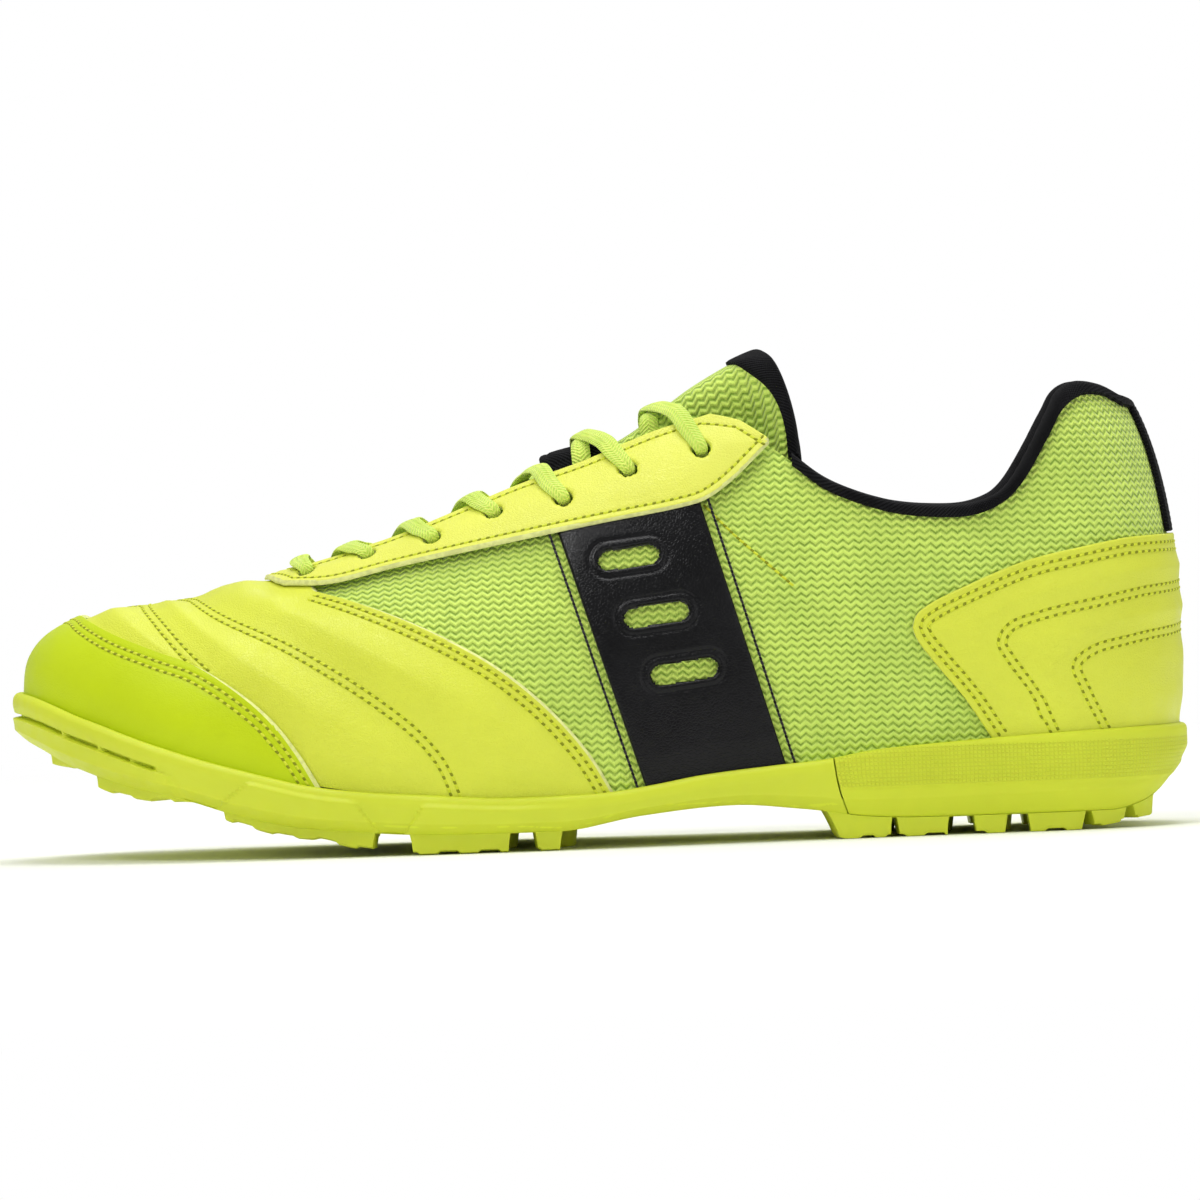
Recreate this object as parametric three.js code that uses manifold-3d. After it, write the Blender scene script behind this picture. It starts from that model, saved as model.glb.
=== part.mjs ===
// A low-cut turf soccer shoe for the left foot, built as the layers a shoemaker assembles:
// rubber outsole with lugs, foam heel midsole, board and sock liner, then lining, stiffeners,
// mesh quarters, vamp, overlays, padded collar, tongue, and one lace with its two aglets.
// Millimetres. The toe points to -X, the heel to +X, the lateral (outer) side to -Y, +Z is up.
// The origin lies on the ground, half way between toe and heel.
import * as THREE from "three";
import { mergeVertices } from "three/addons/utils/BufferGeometryUtils.js";
import Module from "manifold-3d";

const wasm = await Module();
wasm.setup();

// ---- driving dimensions ------------------------------------------------------------------
const TOE_TIP = -134.6; // foremost point of the upper at the feather line
const TOE_CENTRE = -75; // where the round of the toe ends
const HEEL_CENTRE = 106; // where the round of the heel begins
const HEEL_END = 140.4; // rearmost point of the upper at the feather line
const HEEL_BACK = 3; // station of the back seam
const FLEX_X = -49; // ball of the foot, where the sole bends
const FOLD_GAP = 0.4; // parting between the two halves of the outsole
const SEAM_X = 56; // where the rubber wall ends and the foam heel begins
const TRAY_Z = 9.6; // top of the rubber tray under the foam heel
const FEATHER_DROP = 4.5; // how far the upper's lower edge sits inside the sole wall
const GAP = 0.45; // clearance between neighbouring layers
const SKIN = 1.05; // thickness of one layer of upper material

// Depths of the layers, inner face then outer face; 0 is the outer face of the mesh quarters.
const BASE = [-SKIN, 0]; // mesh quarters and toe puff
const MIDDLE = [GAP, GAP + SKIN]; // vamp, side saddles, heel foxing and heel tape
const TOP = [SKIN + 2 * GAP, 2 * SKIN + 2 * GAP]; // toe cap and eyestay
const LINING = [-2 * SKIN - 1.5 * GAP, -SKIN - 1.5 * GAP]; // linings of the vamp and the quarters
const COUNTER = [-SKIN - 1.5 * GAP - 1.5, -SKIN - 1.5 * GAP]; // heel stiffener

const EYELET_RADIUS = 2.3;
const LACE = { width: 4.4, thick: 1.7 };
const AGLET = { radius: 1.35, length: 16 };
const SOLE_WALL = 1.6; // thickness of the sole's side wall
const FOOT_SIDE = 9; // how far inside the feather line the sole's floor is drawn in one piece
const SEAM_SHARE = 0.014; // how far, in stations, the quarters stop short of the back seam
const SEARCHES = 26; // halvings when a point of the surface is looked for

// ---- one-dimensional curves ---------------------------------------------------------------
// A smooth curve through [x, value] points, level at its ends, peaks and flats.
function curve(points) {
  const slope = points.map((p, i) => {
    if (i === 0 || i === points.length - 1) return 0;
    const [before, after] = [points[i - 1], points[i + 1]];
    const turns = (p[1] - before[1]) * (after[1] - p[1]) <= 0;
    return turns ? 0 : (after[1] - before[1]) / (after[0] - before[0]);
  });
  return (x) => {
    const last = points.length - 1;
    if (x <= points[0][0]) return points[0][1];
    if (x >= points[last][0]) return points[last][1];
    let i = 0;
    while (points[i + 1][0] < x) i++;
    const [[x0, y0], [x1, y1]] = [points[i], points[i + 1]];
    const h = x1 - x0;
    const t = (x - x0) / h;
    const [t2, t3] = [t * t, t * t * t];
    return (
      (2 * t3 - 3 * t2 + 1) * y0 +
      (t3 - 2 * t2 + t) * h * slope[i] +
      (3 * t2 - 2 * t3) * y1 +
      (t3 - t2) * h * slope[i + 1]
    );
  };
}

const smooth = (t) => {
  const c = Math.min(1, Math.max(0, t));
  return c * c * (3 - 2 * c);
};
const lerp = (a, b, t) => a + (b - a) * t;

// Height of the ridge over the foot, before the toe rounds it off.
const crown = curve([
  [-140, 62.6], [-115, 62], [-103, 61], [-92, 61.4], [-75, 64.5], [-50, 72.6], [-38, 77.4],
  [-25, 83], [0, 94], [20, 102.5], [45, 110], [75, 112.6], [107, 114.5], [141, 114.5],
]);
// Upper edge of the sole wall.
const soleTop = curve([
  [-137, 40.9], [-119, 34.5], [-107, 29.5], [-95, 25], [-83, 21.3], [-71, 18],
  [-59, 15.9], [-42, 14.3], [-19, 12.9], [0, 13.2], [12, 14.6], [24, 16.5],
  [41, 18.1], [55, 19.2], [65, 20.9], [80, 22], [97, 22.9], [116, 23.7], [138, 24.1],
]);
const feather = (x) => soleTop(x) - FEATHER_DROP;
// Half width of the upper at the feather line, and the sideways bend of the foot's centre line.
const halfWidth = curve([
  [-140, 42.5], [-75, 43.6], [-58, 45.2], [-40, 45.4], [-20, 43.8], [0, 40.6], [20, 37],
  [40, 34.4], [60, 33], [80, 32.6], [106, 32.8],
]);
const centreLine = curve([
  [-138, 8], [-100, 4], [-60, 0.5], [-20, -3], [15, -4.2], [50, -2.8], [90, 0], [140, 1],
]);
// The upper draws in towards its lower edge.
const TUCK = { share: 0.065, height: 44 };
const tuck = (rise) => 1 - TUCK.share * (1 - smooth(rise / TUCK.height));
// How square the cross-section is: 2 is an ellipse.
const squareness = curve([
  [-137, 2.4], [-75, 2.2], [-20, 2], [25, 1.95], [70, 2.45], [107, 2.65], [136, 2.8],
]);
const TOE_ROUND = 3; // squareness of the toe seen from the side

// ---- the surface of the upper ---------------------------------------------------------------
// u runs 0 to 1 over the toe, 1 to 2 along the foot and 2 to 3 round the heel.
// v runs -1 at the lateral feather line, over the ridge at 0, to 1 at the medial one.
// Past u = 3 it comes back along the other side.
function bare(u, v) {
  if (u > 3) return bare(6 - u, -v);
  if (u < 0) return bare(-u, -v);
  const side = v < 0 ? -1 : 1;
  const lift = ((1 - Math.min(1, Math.abs(v))) * Math.PI) / 2;
  if (u <= 2) {
    const toe = Math.min(u, 1) * (Math.PI / 2);
    const along = lerp(TOE_CENTRE, HEEL_CENTRE, u - 1);
    const x = u < 1 ? TOE_CENTRE - (TOE_CENTRE - TOE_TIP) * Math.cos(toe) : along;
    const narrowing = Math.sin(toe);
    const lowering = (1 - Math.cos(toe) ** TOE_ROUND) ** (1 / TOE_ROUND);
    const power = 2 / squareness(x);
    const rise = (crown(x) - feather(x)) * lowering * Math.sin(lift) ** power;
    const reach = halfWidth(x) * narrowing * Math.cos(lift) ** power * tuck(rise);
    return new THREE.Vector3(x, centreLine(x) + side * reach, feather(x) + rise);
  }
  const turn = ((3 - u) * Math.PI) / 2;
  const length = (HEEL_END - HEEL_CENTRE) * Math.cos(turn);
  const floor = feather(HEEL_CENTRE + length);
  const power = 2 / squareness(HEEL_CENTRE + length);
  const rise = (crown(HEEL_CENTRE) - floor) * Math.sin(lift) ** power;
  const reach = Math.cos(lift) ** power * tuck(rise);
  const x = HEEL_CENTRE + length * reach;
  const y = centreLine(x) + side * halfWidth(HEEL_CENTRE) * Math.sin(turn) * reach;
  return new THREE.Vector3(x, y, floor + rise);
}

const STEP = 0.012;
function outward(u, v) {
  if (Math.abs(u) < STEP) return new THREE.Vector3(-1, 0, 0);
  const inV = Math.min(1 - STEP, Math.max(STEP - 1, v));
  const along = bare(u + STEP, inV).sub(bare(u - STEP, inV));
  const across = bare(u, inV + STEP).sub(bare(u, inV - STEP));
  return along.cross(across).normalize();
}
// The point at (u, v), a distance d outside the reference surface.
const skin = (u, v, d = 0) => bare(u, v).addScaledVector(outward(u, v), d);

// (u, v) of the point that is seen at (x, z) from the side. side is -1 lateral, 1 medial.
function seen(x, z, side = -1) {
  let [low, high] = [0, 3];
  for (let k = 0; k < SEARCHES; k++) {
    const mid = (low + high) / 2;
    if (bare(mid, climb(mid, z, side)).x < x) low = mid;
    else high = mid;
  }
  const u = (low + high) / 2;
  return [u, climb(u, z, side)];
}
// u of the cross-section at x, away from the round of the heel.
const stationAt = (x) =>
  x < TOE_CENTRE
    ? (Math.acos(Math.min(1, (TOE_CENTRE - x) / (TOE_CENTRE - TOE_TIP))) * 2) / Math.PI
    : 1 + (x - TOE_CENTRE) / (HEEL_CENTRE - TOE_CENTRE);
// (u, v) of the point at (x, y) seen from above, with y counted from the foot's centre line.
function above(x, y) {
  const u = stationAt(x);
  const share = Math.min(1, Math.abs(y) / (halfWidth(x) * Math.sin((Math.min(u, 1) * Math.PI) / 2)));
  const lift = Math.acos(share ** (squareness(x) / 2));
  return [u, Math.sign(y || 1) * (1 - (lift * 2) / Math.PI)];
}

// v at height z of the cross-section at station u.
function climb(u, z, side = -1) {
  let [low, high] = [0, 1];
  for (let k = 0; k < SEARCHES; k++) {
    const mid = (low + high) / 2;
    if (bare(u, side * (1 - mid)).z < z) low = mid;
    else high = mid;
  }
  return side * (1 - (low + high) / 2);
}
// A point near (u, v): d outside the surface and w further up along it.
function beyond(u, v, w, d) {
  const up = bare(u, v * (1 - STEP)).sub(bare(u, v * (1 + STEP))).normalize();
  return skin(u, v, d).addScaledVector(up, w);
}

// ---- solids ---------------------------------------------------------------------------------
const WELD = 1e-3; // points nearer than this are one point
// A closed geometry from shared points and faces; faces that have collapsed are dropped.
function closed(positions, faces) {
  const raw = new THREE.BufferGeometry().setFromPoints(positions);
  raw.setIndex(faces.flat());
  const merged = mergeVertices(raw, WELD);
  const index = merged.index.array;
  const kept = [];
  for (let i = 0; i < index.length; i += 3) {
    const [a, b, c] = index.slice(i, i + 3);
    if (a !== b && b !== c && a !== c) kept.push(a, b, c);
  }
  merged.setIndex(kept);
  return merged;
}

function manifoldOf(geometry) {
  const position = geometry.getAttribute("position");
  return new wasm.Manifold(
    new wasm.Mesh({
      numProp: 3,
      vertProperties: new Float32Array(position.array),
      triVerts: new Uint32Array(geometry.index.array),
    }),
  );
}
function geometryOf(solid) {
  const mesh = solid.getMesh();
  const geometry = new THREE.BufferGeometry();
  const positions = new Float32Array(mesh.vertProperties);
  geometry.setAttribute("position", new THREE.BufferAttribute(positions, 3));
  geometry.setIndex(new THREE.BufferAttribute(new Uint32Array(mesh.triVerts), 1));
  return geometry;
}
// A three.js primitive, moved into place, as a solid for cutting and joining.
function tool(geometry, place) {
  const shape = geometry.clone();
  shape.deleteAttribute("normal");
  shape.deleteAttribute("uv");
  return manifoldOf(mergeVertices(shape.applyMatrix4(place), WELD / 10));
}

// A sheet: spot(s, t, layer) gives its points, layer 0 for the inner face and 1 for the outer.
function sheet(columns, rows, spot) {
  const positions = [];
  const number = (i, j, layer) => layer * (columns + 1) * (rows + 1) + i * (rows + 1) + j;
  for (const layer of [0, 1])
    for (let i = 0; i <= columns; i++)
      for (let j = 0; j <= rows; j++) positions.push(spot(i / columns, j / rows, layer));
  const faces = [];
  const quad = (a, b, c, d) => faces.push([a, b, c], [a, c, d]);
  for (let i = 0; i < columns; i++)
    for (let j = 0; j < rows; j++) {
      quad(number(i, j, 1), number(i, j + 1, 1), number(i + 1, j + 1, 1), number(i + 1, j, 1));
      quad(number(i, j, 0), number(i + 1, j, 0), number(i + 1, j + 1, 0), number(i, j + 1, 0));
    }
  for (let i = 0; i < columns; i++) {
    quad(number(i, 0, 0), number(i, 0, 1), number(i + 1, 0, 1), number(i + 1, 0, 0));
    quad(number(i, rows, 0), number(i + 1, rows, 0), number(i + 1, rows, 1), number(i, rows, 1));
  }
  for (let j = 0; j < rows; j++) {
    const [near, far] = [0, columns];
    quad(number(near, j, 0), number(near, j + 1, 0), number(near, j + 1, 1), number(near, j, 1));
    quad(number(far, j, 0), number(far, j, 1), number(far, j + 1, 1), number(far, j + 1, 0));
  }
  return closed(positions, faces);
}
// The same solid with its faces turned out, whichever way its sheet was drawn.
function facingOut(geometry) {
  if (manifoldOf(geometry).volume() > 0) return geometry;
  const index = Array.from(geometry.index.array);
  for (let i = 0; i < index.length; i += 3) [index[i + 1], index[i + 2]] = [index[i + 2], index[i + 1]];
  geometry.setIndex(index);
  return geometry;
}
// A panel of the upper between two lines of (u, v) points and between two depths.
function panel(fromLine, toLine, columns, rows, depths) {
  const from = even(fromLine, columns);
  const to = even(toLine, columns);
  return facingOut(
    sheet(columns, rows, (s, t, layer) => {
      const i = Math.round(s * columns);
      const u = lerp(from[i][0], to[i][0], t);
      const v = lerp(from[i][1], to[i][1], t);
      return skin(u, v, typeof depths[layer] === "function" ? depths[layer](u, v) : depths[layer]);
    }),
  );
}
// (u, v) points through [x, z] points seen from the side.
function sideLine(points, side = -1) {
  const stops = points.map(([x, z]) => new THREE.Vector3(x, 0, z));
  const path = new THREE.CatmullRomCurve3(stops, false, "centripetal");
  return path.getPoints(points.length * 5).map((p) => seen(p.x, p.z, side));
}
const otherSide = (line) => line.map(([u, v]) => [u, -v]);
const shifted = (points, dx, dz = 0) => points.map(([x, z]) => [x + dx, z + dz]);
// (u, v) points along the feather line, from station to station.
const steps = (n) => Array.from({ length: n + 1 }, (_, i) => i / n);
const alongFeather = (u0, u1, side = -1) => steps(24).map((t) => [lerp(u0, u1, t), side]);
// The lateral line, an optional middle point on the ridge, and the line's mirror image.
const both = (line, middle = []) => [...line, ...middle, ...otherSide(line).reverse()];
// The lateral line carried on round the heel, where stations run past the back seam.
const round = (line) => [...line, ...line.map(([u, v]) => [2 * HEEL_BACK - u, v]).reverse()];
// n + 1 points spread evenly along a line of (u, v) points.
function even(line, n) {
  const spots = line.map(([u, v]) => bare(u, v));
  const reach = [0];
  for (let i = 1; i < spots.length; i++) reach.push(reach[i - 1] + spots[i].distanceTo(spots[i - 1]));
  return Array.from({ length: n + 1 }, (_, k) => {
    const goal = (reach[reach.length - 1] * k) / n;
    let i = 1;
    while (i < spots.length - 1 && reach[i] < goal) i++;
    const t = (goal - reach[i - 1]) / Math.max(1e-9, reach[i] - reach[i - 1]);
    return [lerp(line[i - 1][0], line[i][0], t), lerp(line[i - 1][1], line[i][1], t)];
  });
}

// ---- ring-built solids: the sole, the board and the sock liner --------------------------------
const SIDE_STEPS = 40;
// A closed outline of 2 * SIDE_STEPS points, a distance out(x) outside the feather line.
function outline(out, height) {
  const points = [];
  for (let k = 0; k < 2 * SIDE_STEPS; k++) {
    const u = (3 * k) / SIDE_STEPS;
    const edge = bare(u, -1);
    const normal = outward(u, -1).setZ(0).normalize();
    const x = edge.x;
    const p = edge.addScaledVector(normal, out(x));
    points.push(p.setZ(height(p.x)));
  }
  return points;
}
// A solid from stacked outlines: from the middle of its underside, round its edge, to its top.
function stacked(rings) {
  const n = 2 * SIDE_STEPS;
  const faces = [];
  for (let r = 0; r + 1 < rings.length; r++)
    for (let k = 0; k < n; k++) {
      const [a, b] = [r * n + k, r * n + ((k + 1) % n)];
      faces.push([a, b, b + n], [a, b + n, a + n]);
    }
  const top = (rings.length - 1) * n;
  for (let k = 0; k < SIDE_STEPS; k++) {
    const [a, b, c, d] = [k, k + 1, (n - k - 1) % n, (n - k) % n];
    faces.push([a, d, c], [a, c, b]);
    faces.push([top + a, top + b, top + c], [top + a, top + c, top + d]);
  }
  return facingOut(closed(rings.flat(), faces));
}

const everywhere = (value) => () => value;
// Faces of the sole wall, outside the feather line. Thicker plies are inside it at the toe.
const wallInner = curve([[-137, 4], [-72, 4], [-50, 2.1], [140, 2.1]]);
const wallOuter = (x) => wallInner(x) + SOLE_WALL;
// How far the wall leans in towards the ground at the heel.
const draft = curve([[60, 0], [110, 2.4], [140, 4.4]]);
// Lower edge of the wall, where the lugs begin.
const plateBottom = curve([
  [-138, 29], [-124, 22.9], [-112, 18], [-98, 14.6], [-84, 10.2], [-72, 7.4], [-54, 5.6], [-38, 4.6],
  [-10, 4.5], [10, 7.4], [32, 9], [48, 7.4], [60, 5.2], [86, 4.3], [127, 4.2], [134, 7], [141, 14],
]);
// Height of the lugs' feet above the ground.
const treadHeight = curve([
  [-136, 27.5], [-119, 19.4], [-98, 12], [-88, 7.8], [-72, 3.4], [-58, 1], [-48, 0],
  [-6, 0], [2, 3.4], [50, 2.6], [54, 0], [112, 0], [122, 1.4], [136, 6],
]);

// ---- lugs -------------------------------------------------------------------------------------
// A lug is a tapered block: radius of its foot and of its root before stretching, the depth its
// root goes into the plate, and its least height.
const LUG = { foot: 1, root: 1.24, sink: 1.6, least: 2.5 };
// A lug with its foot at the tread height, `length` long and `width` wide there.
function lug(x, y, length, width, sides = 4) {
  const foot = treadHeight(x);
  const slope = Math.atan2(treadHeight(x + 3) - treadHeight(x - 3), 6);
  const height = Math.max(LUG.least, plateBottom(x) - foot + LUG.sink);
  const shape = new THREE.CylinderGeometry(LUG.root, LUG.foot, height, sides);
  shape.rotateY(Math.PI / sides);
  const across = sides === 4 ? Math.SQRT2 : 2; // of the foot before it is stretched
  shape.scale(length / across, 1, width / across);
  shape.rotateX(Math.PI / 2);
  shape.translate(0, 0, height / 2);
  const place = new THREE.Matrix4().makeRotationY(-slope);
  place.setPosition(x, y, foot);
  return tool(shape, place);
}
// Edge blocks as [middle, length], and the stations of the studs between them.
const EDGE_LUGS = {
  width: 12,
  inset: 3.5, // of the block's middle from the feather line
  forefoot: [[-113, 11], [-103, 11], [-83, 11], [-72, 12], [-60.5, 11], [-39, 13], [-27, 12], [-13, 7]],
  heel: [[64.5, 11], [76.5, 11], [92.5, 9], [107, 12]],
};
// Hexagonal studs in three lanes in front and two at the heel.
const STUDS = {
  size: 8,
  lane: 0.46, // share of the sole's half width between two lanes
  heelLane: 8,
  forefoot: [-114, -99, -84, -70, -58, -38, -24, -10],
  heel: [66, 80, 94],
};
const HEEL_LUGS = { cornerX: 121, cornerY: 17, backX: 126, length: 8, width: 12 };
function lugs() {
  const blocks = [];
  const reach = (x, inset) => bare(stationAt(x), 1).y - centreLine(x) - inset;
  const onEdge = (x, side) => centreLine(x) + side * reach(Math.min(x, HEEL_CENTRE), EDGE_LUGS.inset);
  const stud = (x, y) => lug(x, y, STUDS.size, STUDS.size, 6);
  const heelLug = (x, y) => lug(x, centreLine(x) + y, HEEL_LUGS.length, HEEL_LUGS.width);
  for (const side of [-1, 1]) {
    for (const [x, length] of [...EDGE_LUGS.forefoot, ...EDGE_LUGS.heel])
      blocks.push(lug(x, onEdge(x, side), length, EDGE_LUGS.width));
    for (const x of STUDS.heel) blocks.push(stud(x, centreLine(x) + side * STUDS.heelLane));
    blocks.push(heelLug(HEEL_LUGS.cornerX, side * HEEL_LUGS.cornerY));
  }
  for (const x of STUDS.forefoot)
    for (const lane of [-1, 0, 1]) {
      const y = centreLine(x) + lane * reach(x, STUDS.size) * STUDS.lane;
      blocks.push(stud(x, y));
    }
  blocks.push(heelLug(HEEL_LUGS.backX, 0));
  return blocks;
}

// A cutting block from x0 to x1 and z0 to z1, wider than the shoe.
const FAR = 300;
function slab(x0, x1, z0 = -FAR / 2, z1 = FAR / 2) {
  const box = new THREE.BoxGeometry(x1 - x0, FAR, z1 - z0);
  return tool(box, new THREE.Matrix4().makeTranslation((x0 + x1) / 2, 0, (z0 + z1) / 2));
}

// Floor of the cup that holds the upper, deeper where the toe springs up.
const cupFloor = (x) => feather(x) - lerp(2, 0.5, smooth((x + 137) / 45));
// The rubber outsole as one moulding, with a cup in front and a tray under the heel foam.
function outsoleSolid() {
  const cup = stacked([
    outline(everywhere(-FOOT_SIDE), plateBottom),
    outline((x) => 0.5 - draft(x), (x) => plateBottom(x) + 0.2),
    outline((x) => wallOuter(x) - 0.2 - draft(x) / 2, (x) => lerp(plateBottom(x), soleTop(x), 0.32)),
    outline((x) => wallOuter(x) + 0.1, (x) => lerp(plateBottom(x), soleTop(x), 0.6)),
    outline(wallOuter, soleTop),
    outline(wallInner, soleTop),
    outline(wallInner, cupFloor),
    outline(everywhere(-FOOT_SIDE), cupFloor),
  ]);
  let solid = manifoldOf(cup).subtract(slab(SEAM_X, FAR, TRAY_Z));
  for (const block of lugs()) solid = solid.add(block);
  return solid;
}
// The foam heel, which rests in the tray and cups the heel of the upper.
function midsoleSolid() {
  const atLeast = (gaps, height) => (x) => Math.max(TRAY_Z + gaps * GAP, height(x));
  const middle = atLeast(2, (x) => lerp(TRAY_Z, soleTop(x), 0.5));
  const rim = atLeast(3, soleTop);
  const floor = atLeast(2, (x) => feather(x) - 0.5);
  const body = stacked([
    outline(everywhere(-FOOT_SIDE), everywhere(TRAY_Z + GAP)),
    outline((x) => wallOuter(x) - 0.2 - draft(x) / 2, everywhere(TRAY_Z + GAP)),
    outline((x) => wallOuter(x) + 0.1 - draft(x) / 5, middle),
    outline(wallOuter, rim),
    outline(wallInner, rim),
    outline(wallInner, floor),
    outline(everywhere(-FOOT_SIDE), floor),
  ]);
  return manifoldOf(body).intersect(slab(SEAM_X + GAP, FAR));
}

// ---- lacing layout ------------------------------------------------------------------------------
// Eyelet rows from the toe up: position along the shoe and distance of the hole from the centre line.
const EYELETS = [
  [-67, 13], [-52.4, 15.5], [-36.7, 18.5], [-21.9, 18.5], [-5.5, 20.5], [10.1, 20], [27.3, 20.5],
];
// Half width of the open throat between the eyestay's arms.
const throat = curve([[-70, 7.5], [-60, 9.5], [-38, 11.5], [-20, 11.5], [0, 12.6], [20, 12], [45, 13]]);
const THROAT_FRONT = -70;
// Depth of the tongue's outer face: low under the linings, raised between the eyestay's arms.
const tongueRidge = curve([[-70, -4], [-40, -2.6], [-10, -1.6], [10, -0.8], [28, 4], [46, 6.8]]);
const TONGUE_SIDE = -5.8;
const TONGUE = { front: -64, end: 44, sideEnd: 49 };
const tongueHalf = curve([[-66, 11], [-40, 19], [0, 23], [30, 24], [49, 21]]);
const tongueTop = (x, y) => {
  const out = Math.abs(y) / (throat(x) * lerp(1, 1.9, smooth((x - 36) / 12)));
  return lerp(tongueRidge(x), TONGUE_SIDE, smooth((out - 0.3) / 0.7));
};

// A cutter along the surface's normal, where an eyelet goes through the upper.
function eyeletCutter(x, y) {
  const [u, v] = above(x, y);
  const cutter = new THREE.CylinderGeometry(EYELET_RADIUS, EYELET_RADIUS, 14, 6);
  const turn = new THREE.Quaternion().setFromUnitVectors(new THREE.Vector3(0, 1, 0), outward(u, v));
  return tool(cutter, new THREE.Matrix4().compose(skin(u, v), turn, new THREE.Vector3(1, 1, 1)));
}
const eyeletCutters = EYELETS.flatMap(([x, y]) => [eyeletCutter(x, -y), eyeletCutter(x, y)]);
const cutBy = (geometry, cutters) =>
  geometryOf(cutters.reduce((solid, cutter) => solid.subtract(cutter), manifoldOf(geometry)));
const punched = (geometry) => cutBy(geometry, eyeletCutters);

// A strap swept along stops, each { at, slim }, with its width kept level with the shoe's length.
function strap(stops, width, thick, corners = 6) {
  const level = new THREE.Vector3(1, 0, 0);
  const positions = [];
  const faces = [];
  stops.forEach(({ at, slim }, i) => {
    const ahead = stops[Math.min(i + 1, stops.length - 1)].at.clone();
    const along = ahead.sub(stops[Math.max(i - 1, 0)].at).normalize();
    const across = level.clone().addScaledVector(along, -along.x).normalize();
    const up = across.clone().cross(along);
    for (let k = 0; k < corners; k++) {
      const turn = (2 * Math.PI * k) / corners;
      const wide = (Math.cos(turn) * width * slim) / 2;
      const high = (Math.sin(turn) * thick) / 2;
      positions.push(at.clone().addScaledVector(across, wide).addScaledVector(up, high));
    }
  });
  for (let i = 0; i + 1 < stops.length; i++)
    for (let k = 0; k < corners; k++) {
      const [a, b] = [i * corners + k, i * corners + ((k + 1) % corners)];
      faces.push([a, b, b + corners], [a, b + corners, a + corners]);
    }
  const last = (stops.length - 1) * corners;
  for (let k = 1; k + 1 < corners; k++) faces.push([0, k + 1, k], [last, last + k, last + k + 1]);
  return facingOut(closed(positions, faces));
}

const OVER = TOP[1] + GAP + LACE.thick / 2; // lace lying on the eyestay
const UNDER = LINING[0] - 0.6 - LACE.thick / 2; // lace running under the lining
const ON_TONGUE = 1.4 + LACE.thick / 2;
const KEEPER = { front: -10.5, back: 6, half: 8.5, thick: 1.2 };
// The lace rides higher where it crosses the keeper.
const keeperLift = (x) => (x > KEEPER.front - 3 && x < KEEPER.back + 3 ? KEEPER.thick + GAP : 0);
const laceStop = (x, y, depth, slim = 1) => {
  const [u, v] = above(x, y);
  return { at: skin(u, v, depth), slim };
};
// The stops of one half of the lace, from the front bar at the toe end on the given side.
function laceHalf(side) {
  const stops = [];
  let hand = side;
  EYELETS.forEach(([x, y], row) => {
    stops.push(laceStop(x, hand * y, OVER - 0.4, 0.7));
    stops.push(laceStop(x, hand * y, 0.2, 0.6));
    stops.push(laceStop(x + 0.3, hand * (y - 0.5), UNDER + 0.4, 0.7));
    if (row === EYELETS.length - 1) return;
    const [nextX, nextY] = EYELETS[row + 1];
    const edge = throat(x + 4);
    const rise = x + 4.6;
    const crossing = (x + nextX) / 2 + 1;
    const top = (row % 2 === 0) === side < 0 ? 0 : LACE.thick + GAP;
    stops.push(laceStop(x + 2.4, hand * (y - 3.6), UNDER));
    stops.push(laceStop(x + 3.6, hand * (edge - 1), UNDER + 1));
    for (const [place, out] of [[rise, edge - 4], [(rise + crossing) / 2, 4.5], [crossing, 0]]) {
      const lift = ON_TONGUE + keeperLift(place) + top * (1 - out / edge);
      stops.push(laceStop(place, hand * out, tongueTop(place, out) + lift));
    }
    stops.push(laceStop(nextX - 5, -hand * (throat(nextX) - 2), OVER));
    stops.push(laceStop(nextX - 2.6, -hand * (nextY - 3.4), OVER, 0.9));
    hand = -hand;
  });
  const [topX, topY] = EYELETS[EYELETS.length - 1];
  stops.push(laceStop(topX + 1, hand * (topY + 3.5), UNDER - 0.1, 0.7));
  stops.push(laceStop(topX + 2, hand * (topY + 6), UNDER - 0.6, 0.5));
  return stops;
}
const frontBar = [-8, 0, 8].map((y) => laceStop(EYELETS[0][0] - 1.4, y, OVER + 0.3));

// ---- outlines of the panels, seen from the side ---------------------------------------------------
const CAP_SEAM = [
  [-64, 14.5], [-70, 24.6], [-77, 33.3], [-85.2, 40], [-93.4, 44.9], [-101.7, 47.8],
  [-111.2, 51.3], [-119.5, 55.2],
];
const VAMP_REAR = [
  [4.8, 10.5], [-1.8, 22.3], [-11, 33.4], [-22.7, 43.4], [-39.2, 52.8], [-55.7, 59.4], [-65, 62],
];
const EYESTAY_LOWER = [
  [43.4, 93.2], [33.2, 84.1], [27.3, 80.5], [21.8, 79], [2.4, 75.6], [-16.9, 72], [-45.9, 66.3],
  [-62, 62.8], [-73, 62.6],
];
const COLLAR = [
  [44, 93], [48.5, 89.6], [55.5, 84.1], [62.6, 80.7], [72.1, 77.7], [81.6, 76.4], [91.3, 76.6],
  [98.6, 79.6], [103.5, 84.6], [109.9, 95.1], [113.7, 101.8], [118.6, 104.2],
];
const COLLAR_BACK_Z = 100;
const FOXING_TOP = [
  [75.8, 48.5], [79.5, 54.6], [88.2, 58.7], [102.8, 64.2], [117.3, 67.3], [126, 68.8],
];
const FOXING_FRONT = [[75.8, 48.5], [80.4, 41], [87.3, 32.3], [93.5, 22.5]];
const FOXING_BACK_Z = 69.3;
const SADDLE = {
  topFront: [-9, 79],
  topRear: [25, 85],
  footFront: [11, 14],
  footRear: [45, 16],
  slots: [[9, 68, 15], [15, 54.5, 16], [21, 41, 16.5]], // x, z and length of the rounded windows
  slotWidth: 5,
  slotTilt: 0.12,
};

// Thickness of the collar foam, which thins out towards the eyestay.
const padding = curve([[48, 0.7], [66, 4.4], [140, 4.4]]);

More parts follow.
